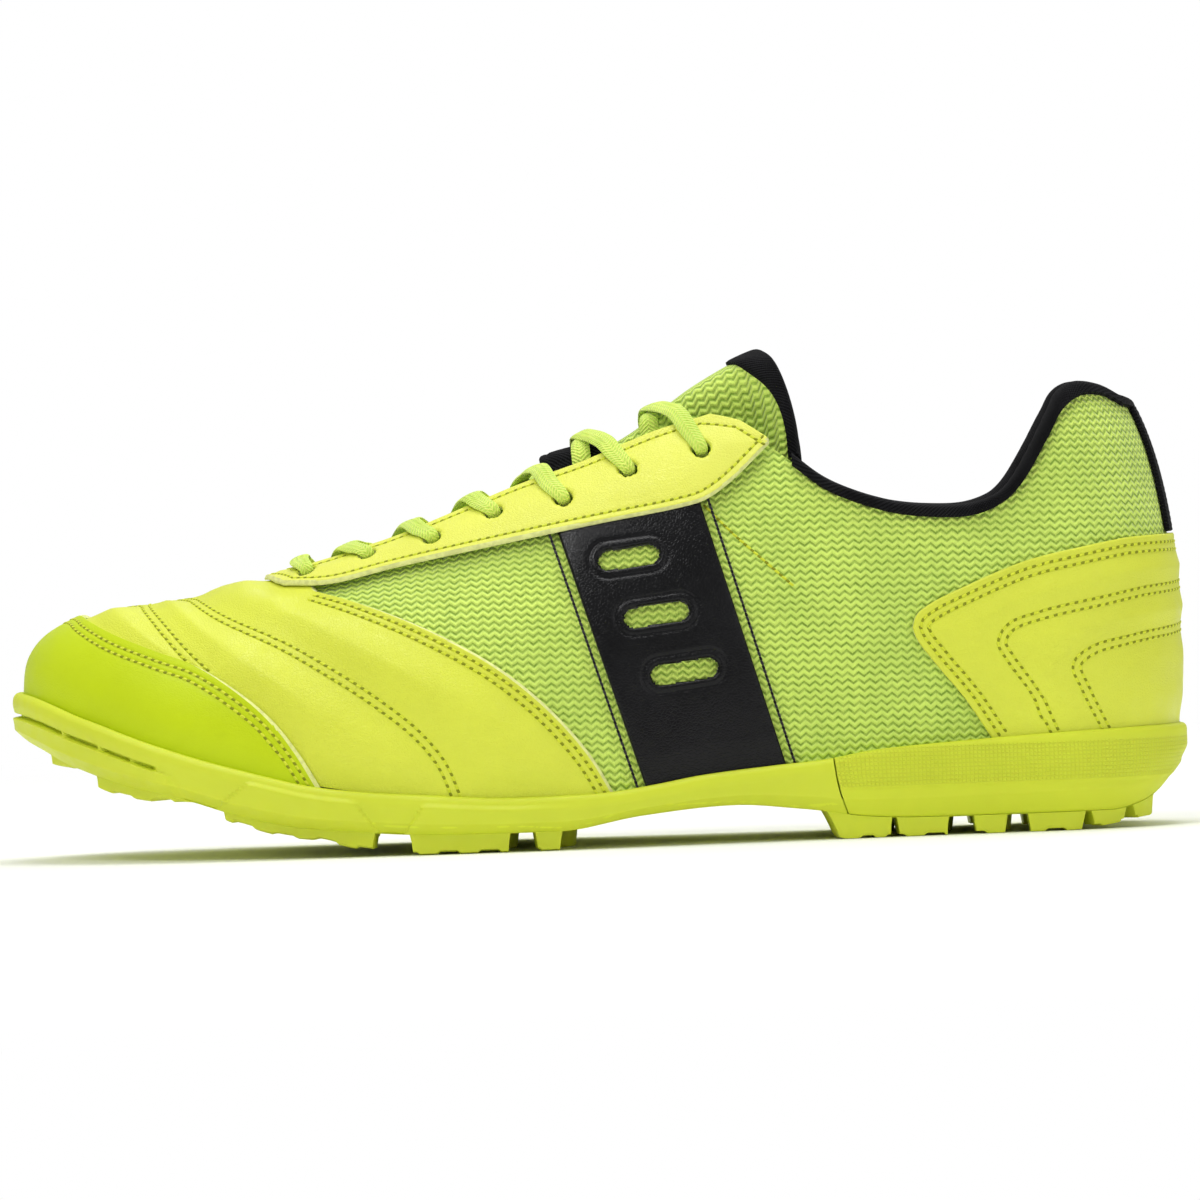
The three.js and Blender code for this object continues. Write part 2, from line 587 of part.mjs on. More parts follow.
// ---- colours ----------------------------------------------------------------------------------
const BLACK = 0x141416;
const YELLOW = 0xd8e23a;
const LIME = 0xc8de00;
const MESH_GREEN = 0xbde64e;
const LACE_GREEN = 0xb8f03c;
const WHITE = 0xe8e8e2;

const shoe = new THREE.Group();
function add(name, geometry, color, roughness = 0.6) {
  const material = new THREE.MeshStandardMaterial({ color, roughness, metalness: 0 });
  const mesh = new THREE.Mesh(geometry, material);
  mesh.name = name;
  shoe.add(mesh);
}
const SIDES = [["lateral", -1], ["medial", 1]];

function addSole() {
  const outsole = outsoleSolid();
  add("outsole_forefoot", geometryOf(outsole.intersect(slab(-FAR, FLEX_X - FOLD_GAP / 2))), YELLOW);
  add("outsole_rearfoot", geometryOf(outsole.intersect(slab(FLEX_X + FOLD_GAP / 2, FAR))), YELLOW);
  add("heel_midsole", geometryOf(midsoleSolid()), YELLOW, 0.7);
}

// How far inside the feather line the layers' inner face lies: lining in front, padding at the heel.
const insideFace = curve([[-137, -3.7], [20, -3.7], [56, -5.6], [140, -5.6]]);
function addInsoles() {
  const board = stacked([
    outline(everywhere(-10), (x) => feather(x) - 0.1),
    outline(insideFace, (x) => feather(x) - 0.1),
    outline(insideFace, (x) => feather(x) + 1.3),
    outline(everywhere(-10), (x) => feather(x) + 1.3),
  ]);
  add("lasting_board", board, WHITE, 0.9);
  const liner = stacked([
    outline(everywhere(-12), (x) => feather(x) + 1.7),
    outline((x) => insideFace(x) - 1.2, (x) => feather(x) + 1.7),
    outline((x) => insideFace(x) - 1.5, (x) => feather(x) + lerp(5.2, 9.5, smooth(x / 80))),
    outline((x) => insideFace(x) - 3.4, (x) => feather(x) + lerp(5.4, 9, smooth(x / 80))),
    outline((x) => insideFace(x) - 8.5, (x) => feather(x) + 5.4),
  ]);
  add("sock_liner", liner, BLACK, 0.95);
}

// An arch from feather to feather at x, and a fan of points at the pole of the toe.
const arch = (x) => steps(48).map((t) => [stationAt(x), lerp(-1, 1, t)]);
const poleFan = (columns) => steps(columns).map((t) => [0, lerp(-1, 1, t)]);

// A panel that closes over the toe, from its pole to the line.
function toePanel(line, columns, rows, depths) {
  const to = even(line, columns);
  const from = poleFan(columns);
  return facingOut(
    sheet(columns, rows, (s, t, layer) => {
      const i = Math.round(s * columns);
      return skin(lerp(from[i][0], to[i][0], t), lerp(from[i][1], to[i][1], t), depths[layer]);
    }),
  );
}
// A lateral line, its top on the ridge at x, and its mirror image.
const overRidge = (line, x) => both(line, [[stationAt(x), 0]]);
// Where lines cross the ridge, and where the toe puff ends.
const ON_RIDGE = { capSeam: -122.5, vampFront: -125.5, vampRear: -70.5, eyestay: -78 };
const PUFF_END = -99;
function addForepart() {
  const vampRear = (dx) => overRidge(sideLine(shifted(VAMP_REAR, dx)), ON_RIDGE.vampRear + dx / 3);
  const capSeam = overRidge(sideLine(CAP_SEAM), ON_RIDGE.capSeam);
  const underCap = shifted(CAP_SEAM, -6, -5).slice(1);
  const vampFront = overRidge(sideLine(underCap), ON_RIDGE.vampFront);
  add("toe_puff", toePanel(arch(PUFF_END), 24, 6, BASE), WHITE, 0.8);
  add("vamp_lining", punched(toePanel(vampRear(-8), 22, 8, LINING)), WHITE, 0.9);
  add("vamp", punched(panel(vampFront, vampRear(0), 26, 7, MIDDLE)), YELLOW, 0.5);
  add("toe_cap", toePanel(capSeam, 24, 8, TOP), LIME, 0.45);
}

// The upper edge of the quarter, from the throat's front over the throat's edge, `inset` off it.
const throatEdge = (x0, x1, side, inset) =>
  steps(16).map((t) => {
    const x = lerp(x0, x1, t);
    return above(x, side * (throat(x) + inset));
  });
function quarterEdges(side) {
  const top = [
    ...throatEdge(THROAT_FRONT + 1.5, 29, side, 1.5),
    ...sideLine([[38, 96.6], ...COLLAR], side),
    [HEEL_BACK - SEAM_SHARE, climb(HEEL_BACK, COLLAR_BACK_Z, side)],
  ];
  const front = sideLine([...shifted(VAMP_REAR, -9, -5)].reverse().slice(0, -1), side);
  return [[...front, ...alongFeather(stationAt(-2), HEEL_BACK - SEAM_SHARE, side)], top];
}
function addQuarters() {
  for (const [word, side] of SIDES) {
    const [bottom, top] = quarterEdges(side);
    add(`mesh_quarter_${word}`, punched(panel(bottom, top, 30, 6, BASE)), MESH_GREEN, 0.9);
  }
}
function addQuarterLinings() {
  for (const [word, side] of SIDES) {
    const front = sideLine([...shifted(VAMP_REAR, -5)].reverse(), side);
    const bottom = [...front, ...alongFeather(stationAt(2), stationAt(60), side)];
    const rear = sideLine([[38, 96.6], [44, 92.4], [46.5, 90]], side);
    const top = [...throatEdge(THROAT_FRONT + 2, 29, side, 1.5), ...rear];
    add(`quarter_lining_${word}`, punched(panel(bottom, top, 16, 5, LINING)), BLACK, 0.9);
  }
}

// Overlays: eyestay, side saddles, heel foxing and heel tape.
function addEyestay() {
  const outer = overRidge(sideLine(EYESTAY_LOWER), ON_RIDGE.eyestay);
  const rearEnd = sideLine([[43.4, 94.4], [37, 98.4]]);
  const alongThroat = throatEdge(THROAT_FRONT + 1.5, 30, -1, 0).reverse();
  const inner = overRidge([...rearEnd, ...alongThroat], THROAT_FRONT);
  add("eyestay", punched(panel(outer, inner, 44, 2, TOP)), YELLOW, 0.45);
}
function saddleEdge(top, foot, side) {
  return sideLine([top, [lerp(top[0], foot[0], 0.5), lerp(top[1], foot[1], 0.5)], foot], side);
}
function slotCutter(x, z, length, width, tilt) {
  const shape = new THREE.Shape();
  const straight = (length - width) / 2;
  shape.absarc(straight, 0, width / 2, -Math.PI / 2, Math.PI / 2);
  shape.absarc(-straight, 0, width / 2, Math.PI / 2, (3 * Math.PI) / 2);
  const prism = new THREE.ExtrudeGeometry(shape, { depth: 160, bevelEnabled: false, curveSegments: 3 });
  const place = new THREE.Matrix4().makeRotationX(Math.PI / 2);
  place.premultiply(new THREE.Matrix4().makeRotationY(-tilt));
  place.setPosition(x, 80, z);
  return tool(prism, place);
}
function addSaddles() {
  const { slotWidth, slotTilt } = SADDLE;
  const slots = SADDLE.slots.map(([x, z, length]) => slotCutter(x, z, length, slotWidth, slotTilt));
  for (const [word, side] of SIDES) {
    const front = saddleEdge(SADDLE.topFront, SADDLE.footFront, side);
    const rear = saddleEdge(SADDLE.topRear, SADDLE.footRear, side);
    add(`side_saddle_${word}`, cutBy(panel(front, rear, 10, 5, MIDDLE), slots), BLACK, 0.3);
  }
}
// A lateral line with its end on the back seam at height z, carried round to the medial side.
const roundAt = (line, z) => round([...line, [HEEL_BACK, climb(HEEL_BACK, z)]]);
const TAPE = { half: 0.17, low: 71, high: 97 }; // half width in stations, and heights of its ends
function addHeelOverlays() {
  const top = roundAt(sideLine(FOXING_TOP), FOXING_BACK_Z);
  const foot = round([...sideLine(FOXING_FRONT), ...alongFeather(stationAt(95), HEEL_BACK)]);
  add("heel_foxing", panel(top, foot, 32, 5, MIDDLE), YELLOW, 0.5);
  const tapeStations = [TAPE.half, TAPE.half / 2, 0].map((back) => HEEL_BACK - back);
  const tapeEdge = (z) => round(tapeStations.map((u) => [u, climb(u, z)]));
  add("heel_tape", panel(tapeEdge(TAPE.low), tapeEdge(TAPE.high), 6, 5, MIDDLE), BLACK, 0.8);
}

// Heel stiffener, collar foam and the lining that rolls over it.
const COUNTER_TOP = [[66, 24], [72, 42], [86, 52], [106, 58], [122, 60]];
const COUNTER_BACK_Z = 61;
const FOAM_FOOT = [[58, 60], [72, 55], [86, 56.5], [106, 62], [122, 64]];
const FOAM_BACK_Z = 65;
const COLLAR_FRONT = 48; // the padding starts behind the eyestay
const paddedEdge = (dz) => [
  ...sideLine(shifted(COLLAR.filter(([x]) => x > COLLAR_FRONT), 0, dz)),
  [HEEL_BACK, climb(HEEL_BACK, COLLAR_BACK_Z + dz)],
];
function addCollar() {
  const counterFoot = round(alongFeather(stationAt(COUNTER_TOP[0][0]), HEEL_BACK));
  const counterTop = roundAt(sideLine(COUNTER_TOP), COUNTER_BACK_Z);
  add("heel_counter", panel(counterFoot, counterTop, 26, 5, COUNTER), WHITE, 0.8);
  const foamFoot = roundAt(sideLine(FOAM_FOOT), FOAM_BACK_Z);
  const foamDepths = [(u, v) => COUNTER[1] - padding(bare(u, v).x), () => COUNTER[1]];
  const foamTop = round(paddedEdge(-1).slice(6));
  add("collar_foam", panel(foamFoot, foamTop, 26, 5, foamDepths), WHITE, 0.95);
  add("collar_lining", collarLining(24), BLACK, 0.9);
}
// The lining's profile at one station, as [w, d] points from the footbed up and over the foam.
const ROLL = { outer: GAP, height: curve([[50, 1], [96, 1], [107, 4.5], [122, 1.6]]) };
const linedDepth = (u, v) => COUNTER[1] - padding(bare(u, v).x) - GAP;
function collarLining(columns) {
  const top = even(round(paddedEdge(0.5)), columns);
  const foot = even(round(alongFeather(stationAt(62), HEEL_BACK)), columns);
  const low = COUNTER[0] - GAP;
  const climbRows = 7;
  const rollRows = 4;
  const rows = climbRows + rollRows + 1;
  return facingOut(
    sheet(columns, rows, (s, t, layer) => {
      const i = Math.round(s * columns);
      const row = Math.round(t * rows);
      const thick = layer * SKIN;
      const [u, v] = top[i];
      const high = linedDepth(u, v);
      const middle = (high + ROLL.outer) / 2;
      const half = (ROLL.outer - high) / 2;
      if (row > climbRows + rollRows) return beyond(u, v, -1, ROLL.outer + thick);
      if (row >= climbRows) {
        const turn = (Math.PI * (climbRows + rollRows - row)) / rollRows;
        const rise = (ROLL.height(bare(u, v).x) + thick) * Math.sin(turn);
        return beyond(u, v, rise, middle + (half + thick) * Math.cos(turn));
      }
      const share = row / climbRows;
      const [nowU, nowV] = [lerp(foot[i][0], u, share), lerp(foot[i][1], v, share)];
      const overFoam = linedDepth(nowU, nowV) - 0.2;
      return skin(nowU, nowV, lerp(low, overFoam, smooth((share - 0.02) / 0.3)) - thick);
    }),
  );
}

// Tongue: outer mesh, foam, lining, end binding and lace keeper. s runs along it and t across it.
function tongueSpot(s, t, depth) {
  const share = 2 * t - 1;
  const x = lerp(TONGUE.front, lerp(TONGUE.end, TONGUE.sideEnd, share * share), s);
  const y = share * tongueHalf(x);
  const [u, v] = above(x, y);
  return skin(u, v, tongueTop(x, y) + depth);
}
const TONGUE_FOAM = 3;
const TONGUE_PLIES = {
  outer: [-SKIN, 0],
  foam: [-SKIN - GAP - TONGUE_FOAM, -SKIN - GAP],
  lining: [-2 * SKIN - 2 * GAP - TONGUE_FOAM, -SKIN - 2 * GAP - TONGUE_FOAM],
};
function addTongue() {
  const layer = (depths) => facingOut(sheet(13, 8, (s, t, k) => tongueSpot(s, t, depths[k])));
  add("tongue_outer", layer(TONGUE_PLIES.outer), MESH_GREEN, 0.9);
  add("tongue_foam", layer(TONGUE_PLIES.foam), WHITE, 0.95);
  add("tongue_lining", layer(TONGUE_PLIES.lining), BLACK, 0.9);
  const [bottom, top] = [TONGUE_PLIES.lining[0], TONGUE_PLIES.outer[1]];
  const binding = sheet(14, 4, (s, t, k) => {
    const edge = tongueSpot(1, s, lerp(bottom, top, t));
    const along = tongueSpot(1, s, bottom).sub(tongueSpot(0.97, s, bottom)).normalize();
    return edge.addScaledVector(along, GAP + k * (0.8 + 2.4 * Math.sin(Math.PI * t)));
  });
  add("tongue_binding", facingOut(binding), BLACK, 0.85);
  const keeper = sheet(6, 8, (s, t, k) => {
    const x = lerp(KEEPER.front, KEEPER.back, s);
    const y = (2 * t - 1) * KEEPER.half;
    const [u, v] = above(x, y);
    return skin(u, v, tongueTop(x, y) + GAP + k * KEEPER.thick);
  });
  add("lace_keeper", facingOut(keeper), BLACK, 0.6);
}

function addLace() {
  const stops = [...laceHalf(-1).reverse(), ...frontBar, ...laceHalf(1)];
  add("lace", strap(stops, LACE.width, LACE.thick), LACE_GREEN, 0.8);
  const [topX, topY] = EYELETS[EYELETS.length - 1];
  for (const end of [stops[0], stops[stops.length - 1]]) {
    const word = end.at.y < 0 ? "lateral" : "medial";
    const goal = laceStop(topX + 4, Math.sign(end.at.y) * (topY + 11), UNDER - 2.2);
    const along = goal.at.sub(end.at).normalize();
    const aglet = new THREE.CylinderGeometry(AGLET.radius, AGLET.radius, AGLET.length, 10);
    aglet.applyQuaternion(new THREE.Quaternion().setFromUnitVectors(new THREE.Vector3(0, 1, 0), along));
    const centre = end.at.clone().addScaledVector(along, AGLET.length / 2 + GAP);
    aglet.translate(centre.x, centre.y, centre.z);
    add(`aglet_${word}`, aglet, LACE_GREEN, 0.3);
  }
}

addSole();
addInsoles();
addForepart();
addQuarters();
addQuarterLinings();
addEyestay();
addSaddles();
addHeelOverlays();
addCollar();
addTongue();
addLace();

// The origin goes to the middle of the footprint, on the ground.
const model = new THREE.Group();
model.add(shoe);
const bounds = new THREE.Box3().setFromObject(shoe);
const middle = bounds.getCenter(new THREE.Vector3());
shoe.position.set(-middle.x, -middle.y, -bounds.min.z);

export default model;
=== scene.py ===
# Looks of the turf soccer shoe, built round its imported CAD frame. The upper is one smooth surface
# with stations u along the shoe and v over it, and each ply of the shoe is a sheet at its own depth.
import math

import bmesh
import bpy
import numpy as np
from mathutils import Matrix, Vector


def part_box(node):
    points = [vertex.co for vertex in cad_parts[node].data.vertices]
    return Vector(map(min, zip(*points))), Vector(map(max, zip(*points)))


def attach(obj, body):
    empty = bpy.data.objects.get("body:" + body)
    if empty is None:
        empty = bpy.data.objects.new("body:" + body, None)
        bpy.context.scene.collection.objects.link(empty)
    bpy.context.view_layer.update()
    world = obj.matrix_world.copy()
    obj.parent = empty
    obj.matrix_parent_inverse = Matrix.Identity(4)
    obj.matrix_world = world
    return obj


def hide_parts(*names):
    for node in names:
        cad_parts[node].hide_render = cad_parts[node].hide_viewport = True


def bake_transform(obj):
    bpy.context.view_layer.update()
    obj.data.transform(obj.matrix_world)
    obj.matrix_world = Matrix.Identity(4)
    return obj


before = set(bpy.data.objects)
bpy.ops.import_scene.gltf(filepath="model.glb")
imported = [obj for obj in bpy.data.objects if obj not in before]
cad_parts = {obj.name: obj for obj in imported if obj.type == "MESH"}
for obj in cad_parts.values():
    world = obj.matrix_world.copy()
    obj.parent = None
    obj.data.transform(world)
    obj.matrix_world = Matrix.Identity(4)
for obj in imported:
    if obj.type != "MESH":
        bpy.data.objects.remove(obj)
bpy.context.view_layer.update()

# ---- driving dimensions, in millimetres ----
TOE_TIP, TOE_CENTRE, HEEL_CENTRE, HEEL_END = -134.6, -75.0, 106.0, 140.4
HEEL_BACK = 3.0  # station of the back seam
SEAM_X = 56.0  # where the rubber wall ends and the foam heel begins
TRAY_Z = 9.6  # top of the rubber tray under the foam heel
FEATHER_DROP = 4.5
GAP, SKIN = 0.45, 1.05  # clearance between plies and thickness of one ply
BASE = (-SKIN, 0.0)
MIDDLE = (GAP, GAP + SKIN)
TOP = (SKIN + 2 * GAP, 2 * SKIN + 2 * GAP)
LINING = (-2 * SKIN - 1.5 * GAP, -SKIN - 1.5 * GAP)
COUNTER = (-SKIN - 1.5 * GAP - 1.5, -SKIN - 1.5 * GAP)
EYELET_RADIUS = 2.3
PLY_HOLE = EYELET_RADIUS + 0.3  # the same holes in the plies under the eyestay
LACE_WIDTH, LACE_THICK = 4.7, 1.35
YARN_PITCH, YARN_SLANT = 0.95, 0.8  # of the lace's yarns along it, and back from its middle
STEP = 0.006  # of u and v when a slope of the surface is taken
MM = 0.001


def curve(points):
    """A smooth curve through (x, value) points, level at its ends, peaks and flats."""
    xs, ys = np.array(points, float).T
    before, after = ys[1:-1] - ys[:-2], ys[2:] - ys[1:-1]
    slopes = np.zeros(len(xs))
    slopes[1:-1] = np.where(before * after <= 0, 0, (ys[2:] - ys[:-2]) / (xs[2:] - xs[:-2]))

    def at(x):
        x = np.clip(np.asarray(x, float), xs[0], xs[-1])
        i = np.clip(np.searchsorted(xs, x) - 1, 0, len(xs) - 2)
        h = xs[i + 1] - xs[i]
        t = (x - xs[i]) / h
        rising = (2 * t**3 - 3 * t**2 + 1) * ys[i] + (3 * t**2 - 2 * t**3) * ys[i + 1]
        return rising + (t**3 - 2 * t**2 + t) * h * slopes[i] + (t**3 - t**2) * h * slopes[i + 1]

    return at


def smooth(t):
    c = np.clip(t, 0, 1)
    return c * c * (3 - 2 * c)


def lerp(a, b, t):
    return a + (b - a) * t


def bell(t):
    return np.exp(-(t**2))


def pair(stations):
    """The u and the v of an array of (u, v) points."""
    return stations[..., 0], stations[..., 1]


def unit(vectors):
    return vectors / np.maximum(np.linalg.norm(vectors, axis=-1, keepdims=True), 1e-12)


crown = curve([
    (-140, 62.6), (-115, 62), (-103, 61), (-92, 61.4), (-75, 64.5), (-50, 72.6), (-38, 77.4),
    (-25, 83), (0, 94), (20, 102.5), (45, 110), (75, 112.6), (107, 114.5), (141, 114.5),
])
sole_top = curve([
    (-137, 40.9), (-119, 34.5), (-107, 29.5), (-95, 25), (-83, 21.3), (-71, 18), (-59, 15.9),
    (-42, 14.3), (-19, 12.9), (0, 13.2), (12, 14.6), (24, 16.5), (41, 18.1), (55, 19.2),
    (65, 20.9), (80, 22), (97, 22.9), (116, 23.7), (138, 24.1),
])
half_width = curve([
    (-140, 42.5), (-75, 43.6), (-58, 45.2), (-40, 45.4), (-20, 43.8), (0, 40.6), (20, 37),
    (40, 34.4), (60, 33), (80, 32.6), (106, 32.8),
])
centre_line = curve([
    (-138, 8), (-100, 4), (-60, 0.5), (-20, -3), (15, -4.2), (50, -2.8), (90, 0), (140, 1),
])
squareness = curve([
    (-137, 2.4), (-75, 2.2), (-20, 2), (25, 1.95), (70, 2.45), (107, 2.65), (136, 2.8),
])
TOE_ROUND = 3.0
TUCK_SHARE, TUCK_HEIGHT = 0.065, 44.0


def feather(x):
    return sole_top(x) - FEATHER_DROP


def tuck(rise):
    return 1 - TUCK_SHARE * (1 - smooth(rise / TUCK_HEIGHT))


# ---- the surface of the upper ----
# u runs 0 to 1 over the toe, 1 to 2 along the foot, 2 to 3 round the heel, then back along the
# other side. v runs -1 at the lateral feather line, over the ridge at 0, to 1 at the medial one.
def bare(u, v):
    u, v = np.broadcast_arrays(np.asarray(u, float), np.asarray(v, float))
    u, v = np.where(u > 3, 6 - u, u), np.where(u > 3, -v, v)
    u, v = np.where(u < 0, -u, u), np.where(u < 0, -v, v)
    side = np.where(v < 0, -1.0, 1.0)
    lift = (1 - np.minimum(1, np.abs(v))) * np.pi / 2
    toe = np.minimum(u, 1) * np.pi / 2
    round_toe = TOE_CENTRE - (TOE_CENTRE - TOE_TIP) * np.cos(toe)
    x = np.where(u < 1, round_toe, lerp(TOE_CENTRE, HEEL_CENTRE, u - 1))
    lowering = (1 - np.cos(toe) ** TOE_ROUND) ** (1 / TOE_ROUND)
    power = 2 / squareness(x)
    rise = (crown(x) - feather(x)) * lowering * np.sin(lift) ** power
    reach = half_width(x) * np.sin(toe) * np.cos(lift) ** power * tuck(rise)
    fore = np.stack([x, centre_line(x) + side * reach, feather(x) + rise], -1)

    turn = (3 - u) * np.pi / 2
    length = (HEEL_END - HEEL_CENTRE) * np.cos(turn)
    floor = feather(HEEL_CENTRE + length)
    power = 2 / squareness(HEEL_CENTRE + length)
    rise = (crown(HEEL_CENTRE) - floor) * np.sin(lift) ** power
    reach = np.cos(lift) ** power * tuck(rise)
    x = HEEL_CENTRE + length * reach
    y = centre_line(x) + side * half_width(HEEL_CENTRE) * np.sin(turn) * reach
    aft = np.stack([x, y, floor + rise], -1)
    return np.where((u <= 2)[..., None], fore, aft)


def outward(u, v):
    u, v = np.broadcast_arrays(np.asarray(u, float), np.asarray(v, float))
    inner = np.clip(v, STEP - 1, 1 - STEP)
    along = bare(u + STEP, inner) - bare(u - STEP, inner)
    across = bare(u, inner + STEP) - bare(u, inner - STEP)
    normal = unit(np.cross(along, across))
    return np.where((np.abs(u) < STEP)[..., None], np.array([-1.0, 0, 0]), normal)


def skin(u, v, depth=0.0):
    return bare(u, v) + outward(u, v) * np.asarray(depth, float)[..., None]


def climb(u, z, side=-1):
    """v at height z of the cross-section at station u."""
    low, high = np.zeros(np.broadcast(u, z).shape), np.ones(np.broadcast(u, z).shape)
    for _ in range(26):
        mid = (low + high) / 2
        under = bare(u, side * (1 - mid))[..., 2] < z
        low, high = np.where(under, mid, low), np.where(under, high, mid)
    return side * (1 - (low + high) / 2)


def seen(x, z, side=-1):
    """(u, v) of the point that is seen at (x, z) from the side."""
    x, z = np.broadcast_arrays(np.asarray(x, float), np.asarray(z, float))
    low, high = np.zeros(x.shape), np.full(x.shape, 3.0)
    for _ in range(26):
        mid = (low + high) / 2
        before = bare(mid, climb(mid, z, side))[..., 0] < x
        low, high = np.where(before, mid, low), np.where(before, high, mid)
    u = (low + high) / 2
    return np.stack([u, climb(u, z, side)], -1)


def station_at(x):
    x = np.asarray(x, float)
    front = np.arccos(np.clip((TOE_CENTRE - x) / (TOE_CENTRE - TOE_TIP), -1, 1)) * 2 / np.pi
    return np.where(x < TOE_CENTRE, front, 1 + (x - TOE_CENTRE) / (HEEL_CENTRE - TOE_CENTRE))


def above(x, y):
    """(u, v) of the point at (x, y) seen from above, y counted from the foot's centre line."""
    x, y = np.broadcast_arrays(np.asarray(x, float), np.asarray(y, float))
    u = station_at(x)
    share = np.minimum(1, np.abs(y) / (half_width(x) * np.sin(np.minimum(u, 1) * np.pi / 2)))
    lift = np.arccos(share ** (squareness(x) / 2))
    return np.stack([u, np.where(y < 0, -1, 1) * (1 - lift * 2 / np.pi)], -1)


# The surface is drawn from the last's own origin; SHIFT takes it to the frame of the CAD model.
cap_low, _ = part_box("toe_cap")
tape_low, tape_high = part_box("heel_tape")
SHIFT = np.array([
    cap_low.x / MM - (TOE_TIP - TOP[1]),
    (tape_low.y + tape_high.y) / 2 / MM - float(centre_line(HEEL_END)),
    0.0,
])


def metres(points):
    return (np.asarray(points, float) + SHIFT) * MM


def at(x, y, z):
    return Vector(metres((x, y, z)))


# ---- lines on the surface ----
def through(points, per=8):
    """Points of the centripetal Catmull-Rom curve through the given ones."""
    p = np.array(points, float)
    p = np.vstack([2 * p[0] - p[1], p, 2 * p[-1] - p[-2]])
    out = []
    for a, b, c, d in zip(p[:-3], p[1:-2], p[2:-1], p[3:]):
        gaps = [max(math.sqrt(math.dist(m, n)), 1e-6) for m, n in ((a, b), (b, c), (c, d))]
        first = ((b - a) / gaps[0] - (c - a) / (gaps[0] + gaps[1]) + (c - b) / gaps[1]) * gaps[1]
        last = ((c - b) / gaps[1] - (d - b) / (gaps[1] + gaps[2]) + (d - c) / gaps[2]) * gaps[1]
        for t in np.arange(per) / per:
            out.append(b + first * t + (-3 * b + 3 * c - 2 * first - last) * t**2
                       + (2 * b - 2 * c + first + last) * t**3)
    out.append(p[-2])
    return np.array(out)


def side_line(points, side=-1):
    """(u, v) points through (x, z) points seen from the side."""
    path = through(points)
    return seen(*pair(path), side)


def shifted(points, dx, dz=0.0):
    return [(x + dx, z + dz) for x, z in points]


def along_feather(u0, u1, side=-1, count=60):
    return np.stack([np.linspace(u0, u1, count), np.full(count, float(side))], -1)


def mirrored(line):
    return line[::-1] * np.array([1, -1])


def over_ridge(line, x=None):
    """A lateral line, its top on the ridge at x, and the line's mirror image."""
    top = np.array([[float(station_at(x)), 0.0]]) if x is not None else np.empty((0, 2))
    return np.vstack([line, top, mirrored(line)])


def round_heel(line):
    """A lateral line carried on round the heel, where stations run past the back seam."""
    return np.vstack([line, (line * np.array([-1, 1]) + np.array([2 * HEEL_BACK, 0]))[::-1]])


def reaches(points):
    return np.concatenate([[0], np.cumsum(np.linalg.norm(np.diff(points, axis=0), axis=1))])


def even(line, shares):
    """The line's (u, v) at the given shares of its length."""
    reach = reaches(bare(*pair(line)))
    goal = np.asarray(shares) * reach[-1]
    return np.stack([np.interp(goal, reach, line[:, 0]), np.interp(goal, reach, line[:, 1])], -1)


def moved_aside(line, distance):
    """The line moved sideways over the surface, to the left of its run as seen from outside."""
    u, v = pair(line)
    inner = np.clip(v, STEP - 1, 1 - STEP)
    by_u = (bare(u + STEP, inner) - bare(u - STEP, inner)) / (2 * STEP)
    by_v = (bare(u, inner + STEP) - bare(u, inner - STEP)) / (2 * STEP)
    run = unit(np.gradient(bare(u, v), axis=0))
    left = unit(np.cross(outward(u, v), run)) * distance
    a, b, d = (by_u * by_u).sum(-1), (by_u * by_v).sum(-1), (by_v * by_v).sum(-1)
    e, f = (left * by_u).sum(-1), (left * by_v).sum(-1)
    det = np.maximum(a * d - b * b, 1e-9)
    moved = line + np.stack([(e * d - b * f) / det, (a * f - b * e) / det], -1)
    clear = nearest(bare(*pair(moved)), dense([line], 0.4)) > abs(distance) * 0.94
    return moved[clear]


def nearest(points, targets):
    """Distance of each point to the nearest target."""
    flat = points.reshape(-1, 3)
    best = np.empty(len(flat))
    for i in range(0, len(flat), 4000):
        part = flat[i:i + 4000]
        square = (part**2).sum(-1)[:, None] + (targets**2).sum(-1)[None] - 2 * part @ targets.T
        best[i:i + 4000] = np.sqrt(np.maximum(square.min(1), 0))
    return best.reshape(points.shape[:-1])


def dense(lines, spacing=0.7):
    """Evenly spaced 3-D points along several (u, v) lines."""
    spots = []
    for line in lines:
        length = reaches(bare(*pair(line)))[-1]
        stops = even(line, np.linspace(0, 1, int(length / spacing) + 2))
        spots.append(bare(*pair(stops)))
    return np.vstack(spots)


# ---- meshes ----
def spread(count, ends=True):
    """Shares from 0 to 1, closer together at both ends when `ends` is set."""
    t = np.linspace(0, 1, count + 1)
    return lerp(t, (1 - np.cos(np.pi * t)) / 2, 0.8) if ends else t


def added(name, data):
    """A new object of the scene."""
    obj = bpy.data.objects.new(name, data)
    bpy.context.scene.collection.objects.link(obj)
    return obj


def make_mesh(name, points, faces, materials, uv=None, face_materials=None, crease=50):
    mesh = bpy.data.meshes.new(name)
    mesh.from_pydata(metres(points).tolist(), [], [list(map(int, f)) for f in faces])
    for m in materials:
        mesh.materials.append(m)
    if face_materials is not None:
        mesh.polygons.foreach_set("material_index", np.asarray(face_materials, np.int32))
    if uv is not None:
        loops = np.empty(len(mesh.loops), np.int32)
        mesh.loops.foreach_get("vertex_index", loops)
        mesh.uv_layers.new(name="cloth").data.foreach_set("uv", np.asarray(uv, np.float32)[loops].ravel())
    bm = bmesh.new()
    bm.from_mesh(mesh)
    bmesh.ops.remove_doubles(bm, verts=bm.verts, dist=2e-6)
    bmesh.ops.delete(bm, geom=[v for v in bm.verts if not v.link_faces], context="VERTS")
    bmesh.ops.recalc_face_normals(bm, faces=bm.faces)
    bm.to_mesh(mesh)
    bm.free()
    mesh.shade_smooth()
    mesh.set_sharp_from_angle(angle=math.radians(crease))
    return added(name, mesh)


